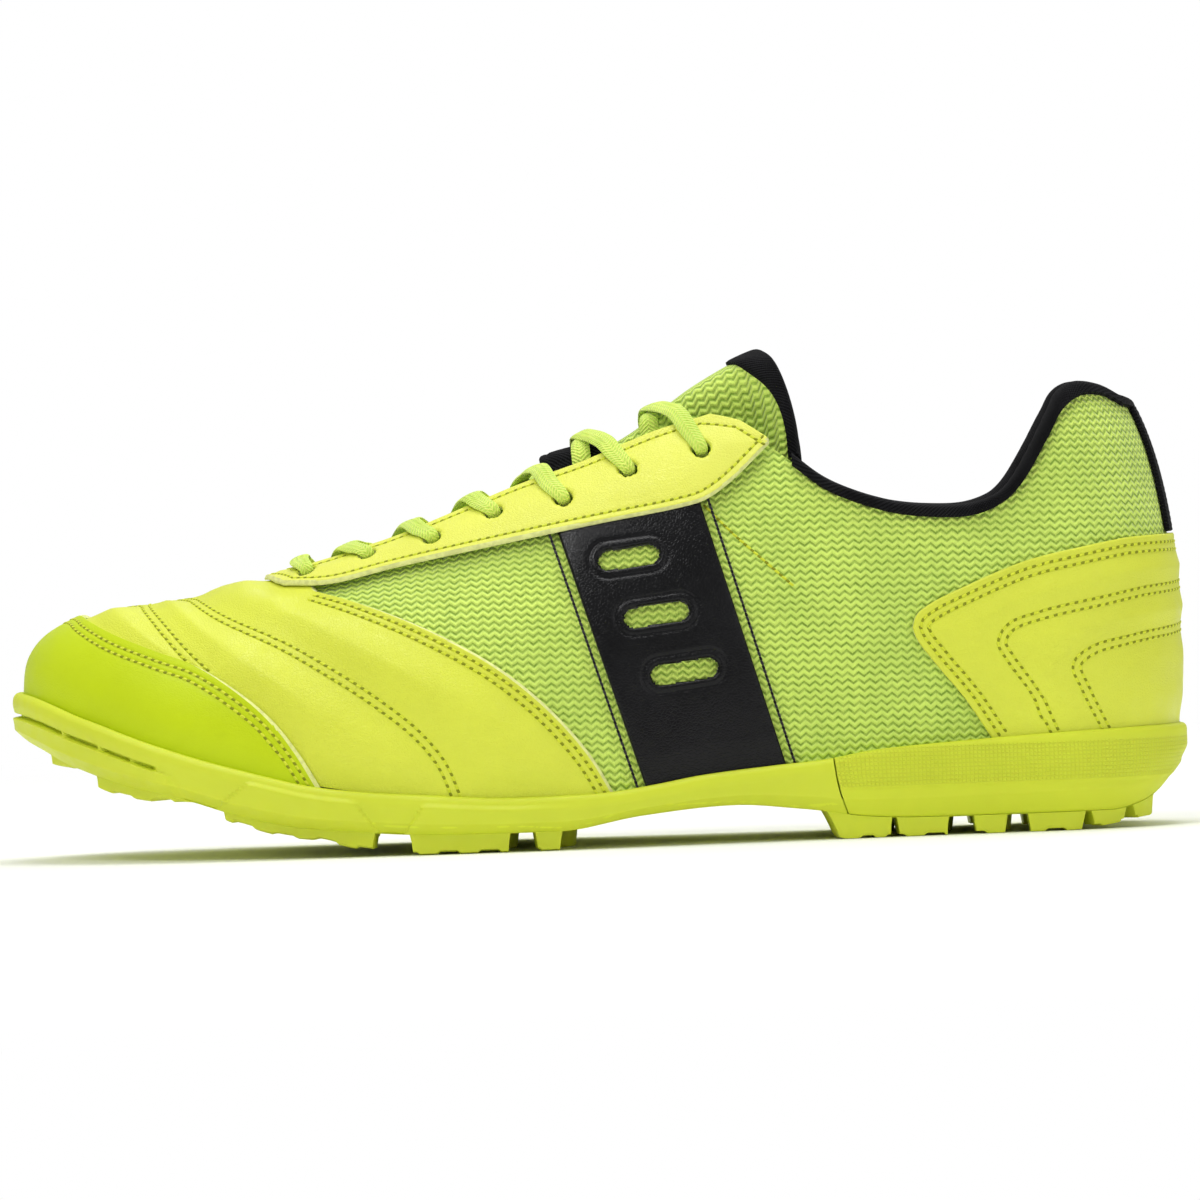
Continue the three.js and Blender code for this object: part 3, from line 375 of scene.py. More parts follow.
def grid_cells(n, m, wrap=False):
    index = np.arange(n * m).reshape(n, m)
    if wrap:
        index = np.vstack([index, index[:1]])
    quads = [index[:-1, :-1], index[:-1, 1:], index[1:, 1:], index[1:, :-1]]
    return np.stack(quads, -1).reshape(-1, 4)


def tube(around, count):
    """Faces of a tube of `around` lines with `count` points each, closed at both ends."""
    first = np.arange(around) * count
    ends = [first[::-1].tolist(), (first + count - 1).tolist()]
    return grid_cells(around, count, wrap=True).tolist() + ends


def read_grid(values, i, j):
    """Values of a grid at fractional places, between the four nearest of its points."""
    i, j = np.clip(i, 0, values.shape[0] - 1.001), np.clip(j, 0, values.shape[1] - 1.001)
    i0, j0 = i.astype(int), j.astype(int)
    di, dj = i - i0, j - j0
    if values.ndim > 2:
        di, dj = di[..., None], dj[..., None]
    near = lerp(values[i0, j0], values[i0 + 1, j0], di)
    far = lerp(values[i0, j0 + 1], values[i0 + 1, j0 + 1], di)
    return lerp(near, far, dj)


def border_walls(cells, lift):
    """Quads that join the open edges of the cells to the same edges `lift` numbers on."""
    edges = np.vstack([cells[:, [k, (k + 1) % 4]] for k in range(4)])
    edges = edges[edges[:, 0] != edges[:, 1]]
    key = edges[:, 0].astype(np.int64) * 10**8 + edges[:, 1]
    back = edges[:, 1].astype(np.int64) * 10**8 + edges[:, 0]
    rim = edges[~np.isin(key, back)]
    return np.stack([rim[:, 1], rim[:, 0], rim[:, 0] + lift, rim[:, 1] + lift], -1)


def punch(top, low, cells, holes):
    """Drops the cells inside the holes and draws the holes' edges round."""
    keep = np.ones(len(cells), bool)
    for centre, axis, radius in holes:
        rel = top - centre
        flat = rel - (rel @ axis)[:, None] * axis
        r = np.linalg.norm(flat, axis=-1)
        near = (r[cells].mean(1) < radius) & (np.abs(rel @ axis)[cells].mean(1) < 8)
        keep &= ~near
        edge = np.intersect1d(cells[near].ravel(), cells[~near].ravel())
        pull = (flat[edge] / np.maximum(r[edge], 1e-6)[:, None]) * (radius - r[edge])[:, None]
        top[edge] += pull
        low[edge] += pull
    return cells[keep]


def shell(name, top, low, cells, paints, uv=None, kinds=None, crease=50):
    """A closed piece: the cells over the points of two layers, and walls along their open edges.
    Its last material is its cut edge. kinds may give the outer layer's cells other materials."""
    top, low = top.reshape(-1, 3), low.reshape(-1, 3)
    walls = border_walls(cells, len(top))
    faces = np.vstack([cells, cells[:, ::-1] + len(top), walls])
    plain = np.zeros(len(cells), int)
    kinds = np.concatenate([plain if kinds is None else kinds, plain, np.full(len(walls), len(paints) - 1)])
    both = None if uv is None else np.vstack([uv.reshape(-1, 2)] * 2)
    return make_mesh(name, np.vstack([top, low]), faces, paints, both, kinds, crease)


def sheet(name, u, v, outer, inner, paints, uv=None, holes=(), rim=None):
    """One ply over a grid of stations, between two depths. Cells where rim is below zero count
    as its cut edge."""
    top, low = skin(u, v, outer).reshape(-1, 3), skin(u, v, inner).reshape(-1, 3)
    cells = punch(top, low, grid_cells(*u.shape), holes)
    kinds = None if rim is None else (rim.ravel()[cells].mean(1) < 0) * (len(paints) - 1)
    return shell(name, top, low, cells, paints, uv, kinds)


def between(from_line, to_line, count, t):
    """Stations of a panel from one line to another, with `count` stops along both."""
    s = np.linspace(0, 1, count)
    a, b = even(from_line, s), even(to_line, s)
    return lerp(a[:, None, 0], b[:, None, 0], t[None]), lerp(a[:, None, 1], b[:, None, 1], t[None])


def lengths(grid, axis):
    """How far each point of a grid lies along the grid's own lines, in millimetres."""
    steps = np.diff(grid, axis=axis, prepend=grid.take([0], axis))
    return np.cumsum(np.linalg.norm(steps, axis=-1), axis=axis)


def edge_distance(u, v, sides):
    """Distance over the surface to the named sides of a grid: a and b are the two ends of s,
    c and d those of t."""
    p = bare(u, v)
    s, t = lengths(p, 0), lengths(p, 1)
    found = {"a": s, "b": s[-1:] - s, "c": t, "d": t[:, -1:] - t}
    return np.minimum.reduce([found[k] for k in sides])


def woven(grid, row):
    """A cloth map along one row of a grid and up its columns."""
    along = np.broadcast_to(lengths(grid[:, row], 0)[:, None], grid.shape[:2])
    return np.stack([along, lengths(grid, 1)], -1)


def cut_bevel(distance, width, height=0.95):
    """Drop of the slanted cut edge of a ply, `width` wide."""
    return height * np.clip(1 - distance / width, 0, 1)


def rounding(distance, radius):
    """How far a rounded edge has dropped at a distance from it."""
    t = np.clip(1 - distance / radius, 0, 1)
    return radius * (1 - np.sqrt(1 - t * t))


def puff(distance, height, width):
    """Padding that rises from a line of stitches."""
    return height * (1 - bell(distance / width))


def off_sole(points):
    """0 at the sole's lip, 1 a little above it, where padding and quilting can rise."""
    return smooth((points[..., 2] - sole_top(points[..., 0]) - 0.5) / 7)


# Where pieces ride: on one body, or left where they are with their transform baked in.
def place(obj, where, *replaced, slot=None):
    if where == "flex":
        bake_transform(obj)
    elif where == "tongue":
        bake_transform(obj)
    else:
        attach(obj, where)
    if replaced:
        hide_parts(*replaced)
    return obj


# ---- stitches ----
STITCH_PITCH, STITCH_SLANT = 2.1, 0.12
THREAD_SIZE, HOLE_SIZE = (1.35, 0.68, 0.55), (1.08, 0.68, 0.42)  # length, width and height


def stitch_shape():
    """A unit capsule: points (along, across, up) and faces."""
    along = np.array([-0.5, -0.33, 0, 0.33, 0.5])
    radius = np.array([0.5, 0.9, 1, 0.9, 0.5]) / 2
    turn = 2 * np.pi * np.arange(6)[:, None] / 6
    points = np.stack([np.broadcast_to(along, (6, 5)), radius * np.cos(turn), radius * np.sin(turn)], -1)
    return points.reshape(-1, 3), tube(6, 5)


def stitched(name, lines, depth, paints, where):
    """Rows of threads along (u, v) lines, with a dark needle hole between each two, its darkness painted
    shade.
    """
    shape, faces = stitch_shape()
    points, all_faces, kinds = [], [], []
    for line in lines:
        count = max(2, int(reaches(bare(*pair(line)))[-1] / STITCH_PITCH))
        for kind, (size, offset) in enumerate(((THREAD_SIZE, 0.5), (HOLE_SIZE, 0.03))):
            stops = even(line, (np.arange(count) + offset) / count)
            ahead = even(line, (np.arange(count) + offset + 0.06) / count)
            up = outward(*pair(stops))
            run = unit(bare(*pair(ahead)) - bare(*pair(stops)))
            run = unit(run + unit(np.cross(up, run)) * STITCH_SLANT)
            across = unit(np.cross(up, run))
            for centre, *axes in zip(skin(*pair(stops), depth), run, across, up):
                all_faces += [[c + len(points) * len(shape) for c in f] for f in faces]
                points.append(centre + shape @ (np.array(axes) * np.array(size)[:, None]))
                kinds += [kind] * len(faces)
    obj = make_mesh(name, np.vstack(points), all_faces, paints, face_materials=kinds, crease=80)
    return place(obj, where)


# ---- padded cloth ----
PRESSURE, CLOTH_FRAMES = 4.0, 20


def padded(grid, sewn, most):
    """How far the padding under a cloth pushes its points out, found by a cloth simulation.

    grid holds the cloth's points, sewn tells which of them are held by stitches, and no point
    goes further than most."""
    n, m = sewn.shape
    mesh = bpy.data.meshes.new("padded")
    mesh.from_pydata((grid.reshape(-1, 3) * MM).tolist(), [], grid_cells(n, m).tolist())
    cloth = added("padded", mesh)
    cloth.vertex_groups.new(name="sewn").add(np.flatnonzero(sewn).tolist(), 1.0, "REPLACE")
    settings = cloth.modifiers.new("cloth", "CLOTH").settings
    settings.vertex_group_mass = "sewn"
    settings.use_pressure, settings.uniform_pressure_force = True, PRESSURE
    settings.effector_weights.gravity = 0
    for step in range(1, CLOTH_FRAMES + 1):
        bpy.context.scene.frame_set(step)
    soft = cloth.evaluated_get(bpy.context.evaluated_depsgraph_get()).data
    moved = np.array([v.co for v in soft.vertices]).reshape(n, m, 3) / MM - grid
    bpy.context.scene.frame_set(1)
    bpy.data.objects.remove(cloth)
    far = np.maximum(np.linalg.norm(moved, axis=-1, keepdims=True), 1e-9)
    return moved * (most * np.tanh(far / most) / far)


def finer(coarse, n, m):
    """A coarse grid of vectors read at n by m places."""
    i, j = [np.linspace(0, size - 1, count) for size, count in zip(coarse.shape, (n, m))]
    return read_grid(coarse, *np.meshgrid(i, j, indexing="ij"))


# ---- materials ----
class Paint:
    """A small builder of node materials. Lengths in its weaves are millimetres on the cloth map."""

    def __init__(self, name, rough=0.5, **inputs):
        self.material = bpy.data.materials.new(name)
        self.material.use_nodes = True
        self.tree = self.material.node_tree
        self.shader = self.tree.nodes["Principled BSDF"]
        self.put(self.shader.inputs["Roughness"], rough)
        for key, value in inputs.items():
            self.put(self.shader.inputs[key.replace("_", " ")], value)
        self.space = self.node("ShaderNodeTexCoord").outputs["Object"]

    def node(self, kind, **settings):
        made = self.tree.nodes.new(kind)
        for key, value in settings.items():
            setattr(made, key, value)
        return made

    def put(self, socket, value):
        if isinstance(value, bpy.types.NodeSocket):
            self.tree.links.new(value, socket)
        elif isinstance(value, tuple) and len(value) == 3 and socket.type == "RGBA":
            socket.default_value = (*value, 1)
        else:
            socket.default_value = value

    def fed(self, made, *values):
        """The first output of a node whose first inputs get the values."""
        for socket, value in zip(made.inputs, values):
            self.put(socket, value)
        return made.outputs[0]

    def math(self, operation, *values):
        return self.fed(self.node("ShaderNodeMath", operation=operation), *values)

    def times(self, a, b):
        return self.math("MULTIPLY", a, b)

    def plus(self, a, b):
        return self.math("ADD", a, b)

    def ramp(self, value, low, high, to_low=0.0, to_high=1.0):
        made = self.node("ShaderNodeMapRange", interpolation_type="SMOOTHSTEP")
        return self.fed(made, value, low, high, to_low, to_high)

    def mix(self, share, a, b):
        made = self.node("ShaderNodeMix", data_type="RGBA")
        self.put(made.inputs[0], share)
        self.put(made.inputs[6], a)
        self.put(made.inputs[7], b)
        return made.outputs[2]

    def blend_shaders(self, share, a, b):
        return self.fed(self.node("ShaderNodeMixShader"), share, a, b)

    def noise(self, size, detail=3.0):
        """Noise whose features are about `size` millimetres."""
        made = self.node("ShaderNodeTexNoise")
        self.put(made.inputs["Vector"], self.space)
        self.put(made.inputs["Scale"], 1 / (size * MM))
        self.put(made.inputs["Detail"], detail)
        return made.outputs[0]

    def pebbles(self, size):
        made = self.node("ShaderNodeTexVoronoi", feature="DISTANCE_TO_EDGE")
        self.put(made.inputs["Vector"], self.space)
        self.put(made.inputs["Scale"], 1 / (size * MM))
        return made.outputs[0]

    def cloth(self):
        """The two coordinates of the cloth map, in millimetres."""
        made = self.node("ShaderNodeSeparateXYZ")
        self.put(made.inputs[0], self.node("ShaderNodeUVMap", uv_map="cloth").outputs[0])
        return made.outputs[0], made.outputs[1]

    def wave(self, length, period):
        """1 at every whole period of a length, 0 half way between."""
        turn = self.times(length, 2 * math.pi / period)
        return self.math("MULTIPLY_ADD", self.math("COSINE", turn), 0.5, 0.5)

    def bump(self, height, millimetres):
        made = self.node("ShaderNodeBump")
        self.put(made.inputs["Distance"], millimetres * MM)
        self.put(made.inputs["Height"], height)
        old = self.shader.inputs["Normal"]
        if old.is_linked:
            self.put(made.inputs["Normal"], old.links[0].from_socket)
        self.put(old, made.outputs[0])

    def colour(self, value):
        self.put(self.shader.inputs["Base Color"], value)

    def roughness(self, size, low, high):
        self.put(self.shader.inputs["Roughness"], self.ramp(self.noise(size), 0.3, 0.7, low, high))


def shade(colour, factor):
    return tuple(min(1.0, c * factor) for c in colour)


def wear_and_crease_shade(paint, colour, edge, crease_shade):
    """Large soft variation of a colour, lighter on edges that rub, and darkened by painted shade in creases.
    """
    point = paint.node("ShaderNodeNewGeometry").outputs["Pointiness"]
    base = paint.mix(paint.ramp(paint.noise(22), 0.3, 0.7), shade(colour, 0.97), shade(colour, 1.02))
    base = paint.mix(paint.ramp(point, 0.53, 0.62), base, edge)
    # Painted shade: the colour darkens where the surface is hollow, in creases and corners.
    return paint.mix(paint.ramp(point, 0.47, 0.38), base, crease_shade)


def leather(name, colour, rough=0.42, grain=0.05, shine=0.45):
    paint = Paint(name, Specular_IOR_Level=shine)
    paint.colour(wear_and_crease_shade(paint, colour, shade(colour, 1.12), shade(colour, 0.72)))
    paint.roughness(5, rough - 0.06, rough + 0.08)
    paint.bump(paint.ramp(paint.pebbles(0.75), 0.0, 0.16), grain)
    paint.bump(paint.noise(5, 3), 0.04)
    return paint.material


def rubber(name, colour, rough=0.5):
    paint = Paint(name, Specular_IOR_Level=0.4, Subsurface_Weight=0.05, Subsurface_Scale=0.002)
    paint.colour(wear_and_crease_shade(paint, colour, shade(colour, 1.1), shade(colour, 0.7)))
    paint.roughness(3, rough - 0.08, rough + 0.1)
    paint.bump(paint.noise(0.5, 4), 0.03)
    paint.bump(paint.noise(9, 3), 0.12)
    return paint.material


def zigzag_mesh(name, light, hollow_shade, period=2.6, pitch=1.75, swing=0.5):
    """Knitted mesh whose bright ribs run in zigzags, with painted shade in the holes between them."""
    paint = Paint(name, rough=0.75, Sheen_Weight=0.25, Sheen_Roughness=0.4, Specular_IOR_Level=0.25)
    u, v = paint.cloth()
    wobble = paint.times(paint.math("SUBTRACT", paint.noise(7, 2), 0.5), 0.9)
    swung = paint.math("PINGPONG", paint.math("DIVIDE", u, period / 2), 1.0)
    lifted = paint.plus(paint.plus(v, wobble), paint.times(swung, 2 * swing))
    rib = paint.wave(lifted, pitch)
    yarn = paint.wave(u, period / 4)
    height = paint.plus(rib, paint.times(yarn, paint.times(rib, 0.22)))
    thread = paint.ramp(paint.noise(1.1, 2), 0.3, 0.7, 0.6, 1.0)
    # Painted shade: the holes between the ribs take the darker colour.
    hole_shade = paint.times(paint.ramp(rib, 0.5, 0.05), thread)
    tone = paint.mix(paint.ramp(paint.noise(16), 0.35, 0.65), shade(light, 0.93), shade(light, 1.05))
    paint.colour(paint.mix(hole_shade, tone, hollow_shade))
    paint.bump(height, 0.42)
    paint.bump(paint.noise(0.25, 2), 0.05)
    return paint.material


def twill(name, colour, light, period=0.9, depth=0.16, rough=0.8):
    """Close woven cloth with slanting ribs, and painted shade in the hollows between them."""
    paint = Paint(name, rough=rough, Sheen_Weight=0.02, Sheen_Roughness=0.4, Specular_IOR_Level=0.1)
    u, v = paint.cloth()
    rib = paint.wave(paint.plus(u, v), period)
    cross = paint.wave(paint.math("SUBTRACT", u, v), period * 0.72)
    weave = paint.math("MULTIPLY_ADD", cross, 0.5, rib)
    tone = paint.mix(paint.ramp(paint.noise(9), 0.3, 0.7), colour, light)
    # Painted shade: the hollows of the weave are darkened to about half the colour.
    paint.colour(paint.mix(paint.ramp(weave, 0.2, 1.4), shade(colour, 0.55), tone))
    paint.bump(weave, depth)
    paint.bump(paint.noise(0.3, 2), 0.04)
    return paint.material


def gloss(name, colour, rough=0.2):
    """Coated synthetic with a fine pressed texture under its shine."""
    paint = Paint(name, Specular_IOR_Level=0.22)
    tone = paint.mix(paint.ramp(paint.noise(12), 0.3, 0.7), colour, shade(colour, 1.7))
    paint.colour(tone)
    paint.roughness(4, rough, rough + 0.1)
    paint.bump(paint.ramp(paint.pebbles(0.7), 0.0, 0.2), 0.03)
    paint.bump(paint.noise(14, 1), 0.08)
    return paint.material


GRID_PITCH, GRID_LOW, GRID_HIGH = 0.95, 12.0, 21.6  # pitch and heights of the heel's fine grid


def foam_block(name, colour):
    """Moulded foam with a fine square grid pressed into the upper part of its wall, with painted shade in the
    grid's grooves.
    """
    paint = Paint(name, rough=0.6, Specular_IOR_Level=0.35, Subsurface_Weight=0.06, Subsurface_Scale=0.002)
    u, v = paint.cloth()
    across, upward = paint.wave(u, GRID_PITCH), paint.wave(v, GRID_PITCH)
    lines = paint.math("MAXIMUM", paint.ramp(across, 0.6, 1.0), paint.ramp(upward, 0.6, 1.0))
    inside = paint.times(paint.ramp(v, GRID_LOW, GRID_LOW + 0.6), paint.ramp(v, GRID_HIGH, GRID_HIGH - 0.6))
    pressed = paint.times(lines, inside)
    base = wear_and_crease_shade(paint, colour, shade(colour, 1.1), shade(colour, 0.7))
    # Painted shade: the pressed grooves of the grid are darkened.
    paint.colour(paint.mix(paint.times(pressed, 0.22), base, shade(colour, 0.72)))
    paint.bump(paint.math("SUBTRACT", 1.0, pressed), 0.13)
    paint.bump(paint.noise(0.7, 3), 0.04)
    return paint.material


def braid(name, light, hollow_shade):
    """Flat woven lace: yarns slant away from its middle line, with painted shade between them. u runs along
    it and v across it.
    """
    paint = Paint(name, rough=0.7, Sheen_Weight=0.3, Sheen_Roughness=0.4, Specular_IOR_Level=0.25)
    u, v = paint.cloth()
    slant = paint.times(paint.math("ABSOLUTE", v), YARN_SLANT)
    yarn = paint.wave(paint.plus(u, slant), YARN_PITCH)
    lane = paint.wave(v, 1.25)
    weave = paint.math("MULTIPLY_ADD", lane, 0.5, yarn)
    tone = paint.mix(paint.ramp(paint.noise(14), 0.35, 0.65), shade(light, 0.92), shade(light, 1.06))
    # Painted shade: the hollows between the yarns take the darker colour.
    paint.colour(paint.mix(paint.ramp(weave, 1.0, 0.15), tone, hollow_shade))
    paint.bump(weave, 0.2)
    paint.bump(paint.noise(0.22, 2), 0.05)
    return paint.material


def felt(name, colour, size=0.6, depth=0.12, rough=0.9):
    """Foam, board or brushed lining: fine irregular fibres."""
    paint = Paint(name, rough=rough, Sheen_Weight=0.2, Specular_IOR_Level=0.2)
    fibres = paint.ramp(paint.noise(size * 4), 0.35, 0.65)
    paint.colour(paint.mix(fibres, shade(colour, 0.86), shade(colour, 1.06)))
    paint.bump(paint.noise(size, 5), depth)
    return paint.material


YELLOW = (0.74, 0.80, 0.052)
# A paler copy of the yellow leather for the eyestay: painted highlight on the top of the shoe.
HIGHLIT_YELLOW = (0.84, 0.87, 0.11)
LIME = (0.58, 0.72, 0.005)
SOLE_YELLOW = (0.66, 0.74, 0.035)
M_LEATHER = leather("leather_yellow", YELLOW)
M_HIGHLIT = leather("leather_highlit", HIGHLIT_YELLOW, rough=0.4)
M_LIME = leather("leather_lime", LIME, rough=0.4, grain=0.02, shine=0.25)
M_RUBBER = rubber("rubber_yellow", SOLE_YELLOW)
M_FOAM = foam_block("foam_yellow", SOLE_YELLOW)
# The second colours are painted shade: in the mesh's holes, and between the lace's yarns.
M_MESH = zigzag_mesh("mesh_green", (0.74, 0.97, 0.17), (0.23, 0.39, 0.04))
M_LACE = braid("lace_green", (0.82, 1.0, 0.17), (0.60, 0.88, 0.10))
M_BLACK = twill("fabric_black", (0.005, 0.005, 0.006), (0.016, 0.016, 0.018))
M_GLOSS = gloss("gloss_black", (0.003, 0.003, 0.0035), rough=0.16)
M_EDGE = felt("cut_edge", (0.82, 0.85, 0.32), size=0.4, depth=0.05, rough=0.75)
M_BLACK_EDGE = felt("cut_edge_black", (0.02, 0.02, 0.022), size=0.4, depth=0.05, rough=0.6)
# The needle holes are small dark pieces: painted shade in the holes.
NEEDLE_HOLE_SHADE = rubber("needle_hole_shade", (0.24, 0.27, 0.003), rough=0.7)
YELLOW_THREAD = [leather("thread_yellow", (0.66, 0.72, 0.03), rough=0.55), NEEDLE_HOLE_SHADE]
BLACK_HOLE_SHADE = felt("needle_hole_shade_black", (0.004, 0.004, 0.004), size=0.3, depth=0.05)
BLACK_THREAD = [felt("thread_black", (0.02, 0.02, 0.022), size=0.3, depth=0.05, rough=0.5), BLACK_HOLE_SHADE]
M_WHITE = felt("lining_white", (0.72, 0.72, 0.69))
M_BOARD = felt("board_white", (0.66, 0.64, 0.58), size=1.2)
M_PADDING = felt("foam_white", (0.74, 0.74, 0.70), size=0.9, depth=0.3)
M_BLACK_FOAM = felt("foam_black", (0.02, 0.02, 0.022), size=0.9, depth=0.3)
M_PLASTIC = gloss("plastic_green", (0.50, 0.80, 0.10))

# ---- outlines of the panels, seen from the side ----
CAP_SEAM = [
    (-64, 14.5), (-70, 24.6), (-77, 33.3), (-85.2, 40), (-93.4, 44.9), (-101.7, 47.8),
    (-111.2, 51.3), (-119.5, 55.2),
]
VAMP_REAR = [
    (4.8, 10.5), (-1.8, 22.3), (-11, 33.4), (-22.7, 43.4), (-39.2, 52.8), (-55.7, 59.4), (-65, 62),
]
QUILTS = [
    [(-92, 43.9), (-96.9, 48.4), (-103.8, 55.8), (-107.6, 59.6)],
    [(-33.3, 12.5), (-36.7, 21.1), (-42.2, 28.2), (-50.6, 35.2), (-60.2, 41.8), (-72.9, 49.2),
     (-88, 56), (-95, 60)],
]
QUILT_TOPS = [-110.5, -98.5]  # x where the quilt lines cross the ridge
EYESTAY_LOWER = [
    (43.4, 93.2), (33.2, 84.1), (27.3, 80.5), (21.8, 79), (2.4, 75.6), (-16.9, 72), (-45.9, 66.3),
    (-62, 62.8), (-73, 62.6),
]
COLLAR = [
    (44, 93), (48.5, 89.6), (55.5, 84.1), (62.6, 80.7), (72.1, 77.7), (81.6, 76.4), (91.3, 76.6),
    (98.6, 79.6), (103.5, 84.6), (109.9, 95.1), (113.2, 100.8), (117.6, 103.8), (122.5, 103.4),
    (127, 101.0),
]
COLLAR_BACK_Z, COLLAR_FRONT = 99.6, 48.0
FOXING_TOP = [
    (75.4, 49.4), (76.5, 52.4), (79.8, 54.9), (88.2, 58.7), (102.8, 64.2), (117.3, 67.3), (126, 68.8),
]
FOXING_FRONT = [(75.4, 49.4), (76.4, 46.6), (80.4, 41), (87.3, 32.3), (93.5, 22.5)]
FOXING_BACK_Z = 69.3
HEEL_ROWS = [  # inner rows of the heel foxing, front to the back seam's height
    ([(109, 22), (104.1, 33), (98.4, 41.5), (96.6, 45.2), (98.7, 48.7), (107.2, 51.6),
      (121.7, 54.4), (130, 56)], 57.3),
    ([(121, 22), (115.7, 33.7), (113.9, 39.3), (117.7, 42.6), (126.1, 44.7), (132, 45.8)], 47.3),
]
EYELETS = [(-67, 13), (-52.4, 15.5), (-36.7, 18.5), (-21.9, 17.8), (-5.5, 20), (10.1, 18.2), (27.3, 18)]
throat = curve([(-70, 7.5), (-60, 9.5), (-38, 11.5), (-20, 11.5), (0, 12.6), (20, 12), (45, 13)])
THROAT_FRONT = -70.0
SIDES = (("lateral", -1), ("medial", 1))


def eyelet_holes(radius):
    holes = []
    for x, y in EYELETS:
        for side in (-1, 1):
            u, v = above(x, side * y)
            holes.append((skin(u, v), outward(u, v), radius))
    return holes


def hole_distance(points, radius):
    centres = np.array([h[0] for h in eyelet_holes(radius)])
    return nearest(points, centres) - radius


HEEL_GIRTH = 52  # length round the heel from u = 2 to the back seam


def cloth_map(u, v):
    """(along, up) over the surface in millimetres, for weaves on the sides of the upper."""
    x = np.where(u > 2, HEEL_CENTRE + (u - 2) * HEEL_GIRTH, bare(np.minimum(u, 2), v)[..., 0])
    shares, stations = np.linspace(0, 1, 60), np.linspace(0.3, 3, 90)
    table = bare(stations[:, None], shares[None] - 1)
    girth = lengths(table, 1) + feather(np.clip(table[:, :1, 0], -130, 138))
    folded = np.where(u > 3, 6 - u, u)
    i = (folded - stations[0]) / (stations[1] - stations[0])
    return np.stack([x, read_grid(girth, i, (1 - np.abs(v)) * (len(shares) - 1))], -1)


# ---- the sole ----
wall_inner = curve([(-137, 3.3), (-110, 4), (-72, 4), (-50, 2.1), (100, 2.1), (138, 1.3)])
WALL = 1.6
draft = curve([(60, 0), (110, 1.5), (140, 2.4)])
plate_bottom = curve([
    (-138, 29), (-124, 22.9), (-112, 18.4), (-98, 14.8), (-84, 10.2), (-72, 7.4), (-54, 5.6), (-38, 4.6),
    (-10, 4.5), (10, 7.4), (32, 9), (48, 7.4), (60, 5.2), (86, 4.3),
    (122, 4.3), (129, 5.4), (134.4, 7.8), (139, 12), (141, 13.6),
])
seam_line = curve([(3, 60.2), (5.3, 58.8), (11.8, 56.3), (19.5, 55.2)])
FLOOR_INSET = 9.0
GROOVE_RIBS = [-123, -114.8, -107.6]
GROOVE_END, GROOVE_DOWN, GROOVE_HALF, GROOVE_DEEP = -102.4, 5.4, 0.65, 1.5
# Height of the lugs' feet, and where along the edge the lugs stand.
foot_height = curve([
    (-138, 27), (-130, 23.4), (-123, 21.8), (-117.5, 17.2), (-106, 14.4), (-94, 13.6), (-88.5, 9.6), (-84, 8),
    (-75, 5.3), (-66, 4), (-57, 1.8), (-48, 0.5), (-43, 0), (-6, 0), (2, 3.4), (50, 2.6),
    (54, 0), (112, 0), (122, 0.9), (134, 2.4),
])
LUG_RUNS = [
    (-129.5, -123.4), (-118.4, -95.2), (-88.4, -53.4), (-44.5, -21.6), (-15.2, -9.4),
    (52.2, 68.8), (70.6, 82.4), (88.8, 96.4), (101.8, 115), (117.6, 126), (128.4, 133.4),
]
LUG_DEEP = 8.2  # how far in from the feather line the edge lugs reach
FOOT_STEP = 0.45  # height of the bevel round a lug's foot
# How far the tray's wall stands back from the wall in front of it, and from the heel's back.
TRAY_INSET, HEEL_INSET = 1.45, 3.5
# Depth of the outermost ply that meets the wall's lip.
ply_at_wall = curve([
    (-66.5, 3.05), (-64.8, 1.6), (3, 1.6), (6, 0.1), (9, 0.1), (11, 1.6), (47, 1.6), (49, 0.1),
    (91, 0.1), (94, 1.6),
])
# Raised panels of the wall: (x at bottom, x at top) of their front and rear ends, and their
# distance below the lip.
WALL_PANELS = [
    ((-200, -200), (-98.0, -101.0), 5.6), ((-90.5, -79.5), (-51.5, -58.5), 1.6),
    ((-46.5, -39.5), (8.0, -4.0), 1.6),
]


def outline(u, out, height):
    """Points a distance outside the feather line, at a height. u runs 0 to 6 round the shoe."""
    edge = bare(u, -1)
    normal = outward(u, -1) * np.array([1, 1, 0])
    normal[np.abs(u % 6) < STEP] = (-1, 0, 0)
    spot = edge + unit(normal) * np.asarray(out)[..., None]
    spot[..., 2] = height
    return spot


def wall_relief(x, z, top, low):
    """What the mould adds to the plain wall of the rubber sole at x and height z."""
    share = np.clip((z - low) / np.maximum(top - low, 1), 0, 1)
    raised = np.zeros(np.shape(x))
    for (a0, a1), (b0, b1), down in WALL_PANELS:
        front, rear = lerp(a0, a1, share), lerp(b0, b1, share)
        inside = smooth((x - front) / 0.7) * smooth((rear - x) / (0.7 if b0 < 0 else 22))
        raised = np.maximum(raised, inside * smooth((top - down - z) / min(1.4, 3 / down)))
    across = GROOVE_HALF - np.abs(z - (top - GROOVE_DOWN))
    groove = smooth(across / 0.35) * smooth((GROOVE_END - x) / 0.8)
    for rib in GROOVE_RIBS:
        groove = groove * smooth((np.abs(x - rib) - 0.35) / 0.35)
    at_toe = smooth((-98 - x) / 6)
    bead = lerp(0.35, 0.6, at_toe) * bell((z - (top - 2.6)) / lerp(1.7, 2.3, at_toe))
    return 0.75 * raised + bead - GROOVE_DEEP * groove - rounding(top - z, 1.5) * 0.9


def in_lug(x):
    """1 where an edge lug stands at x, 0 between the lugs."""
    return np.maximum.reduce([smooth((x - a) / 0.3 + 0.5) * smooth((b - x) / 0.3 + 0.5) for a, b in LUG_RUNS])


def serrated(x):
    """Small steps under the lugs."""
    return 0.6 * smooth((np.sin(2 * np.pi * x / 9.6) + 0.15) / 0.3)


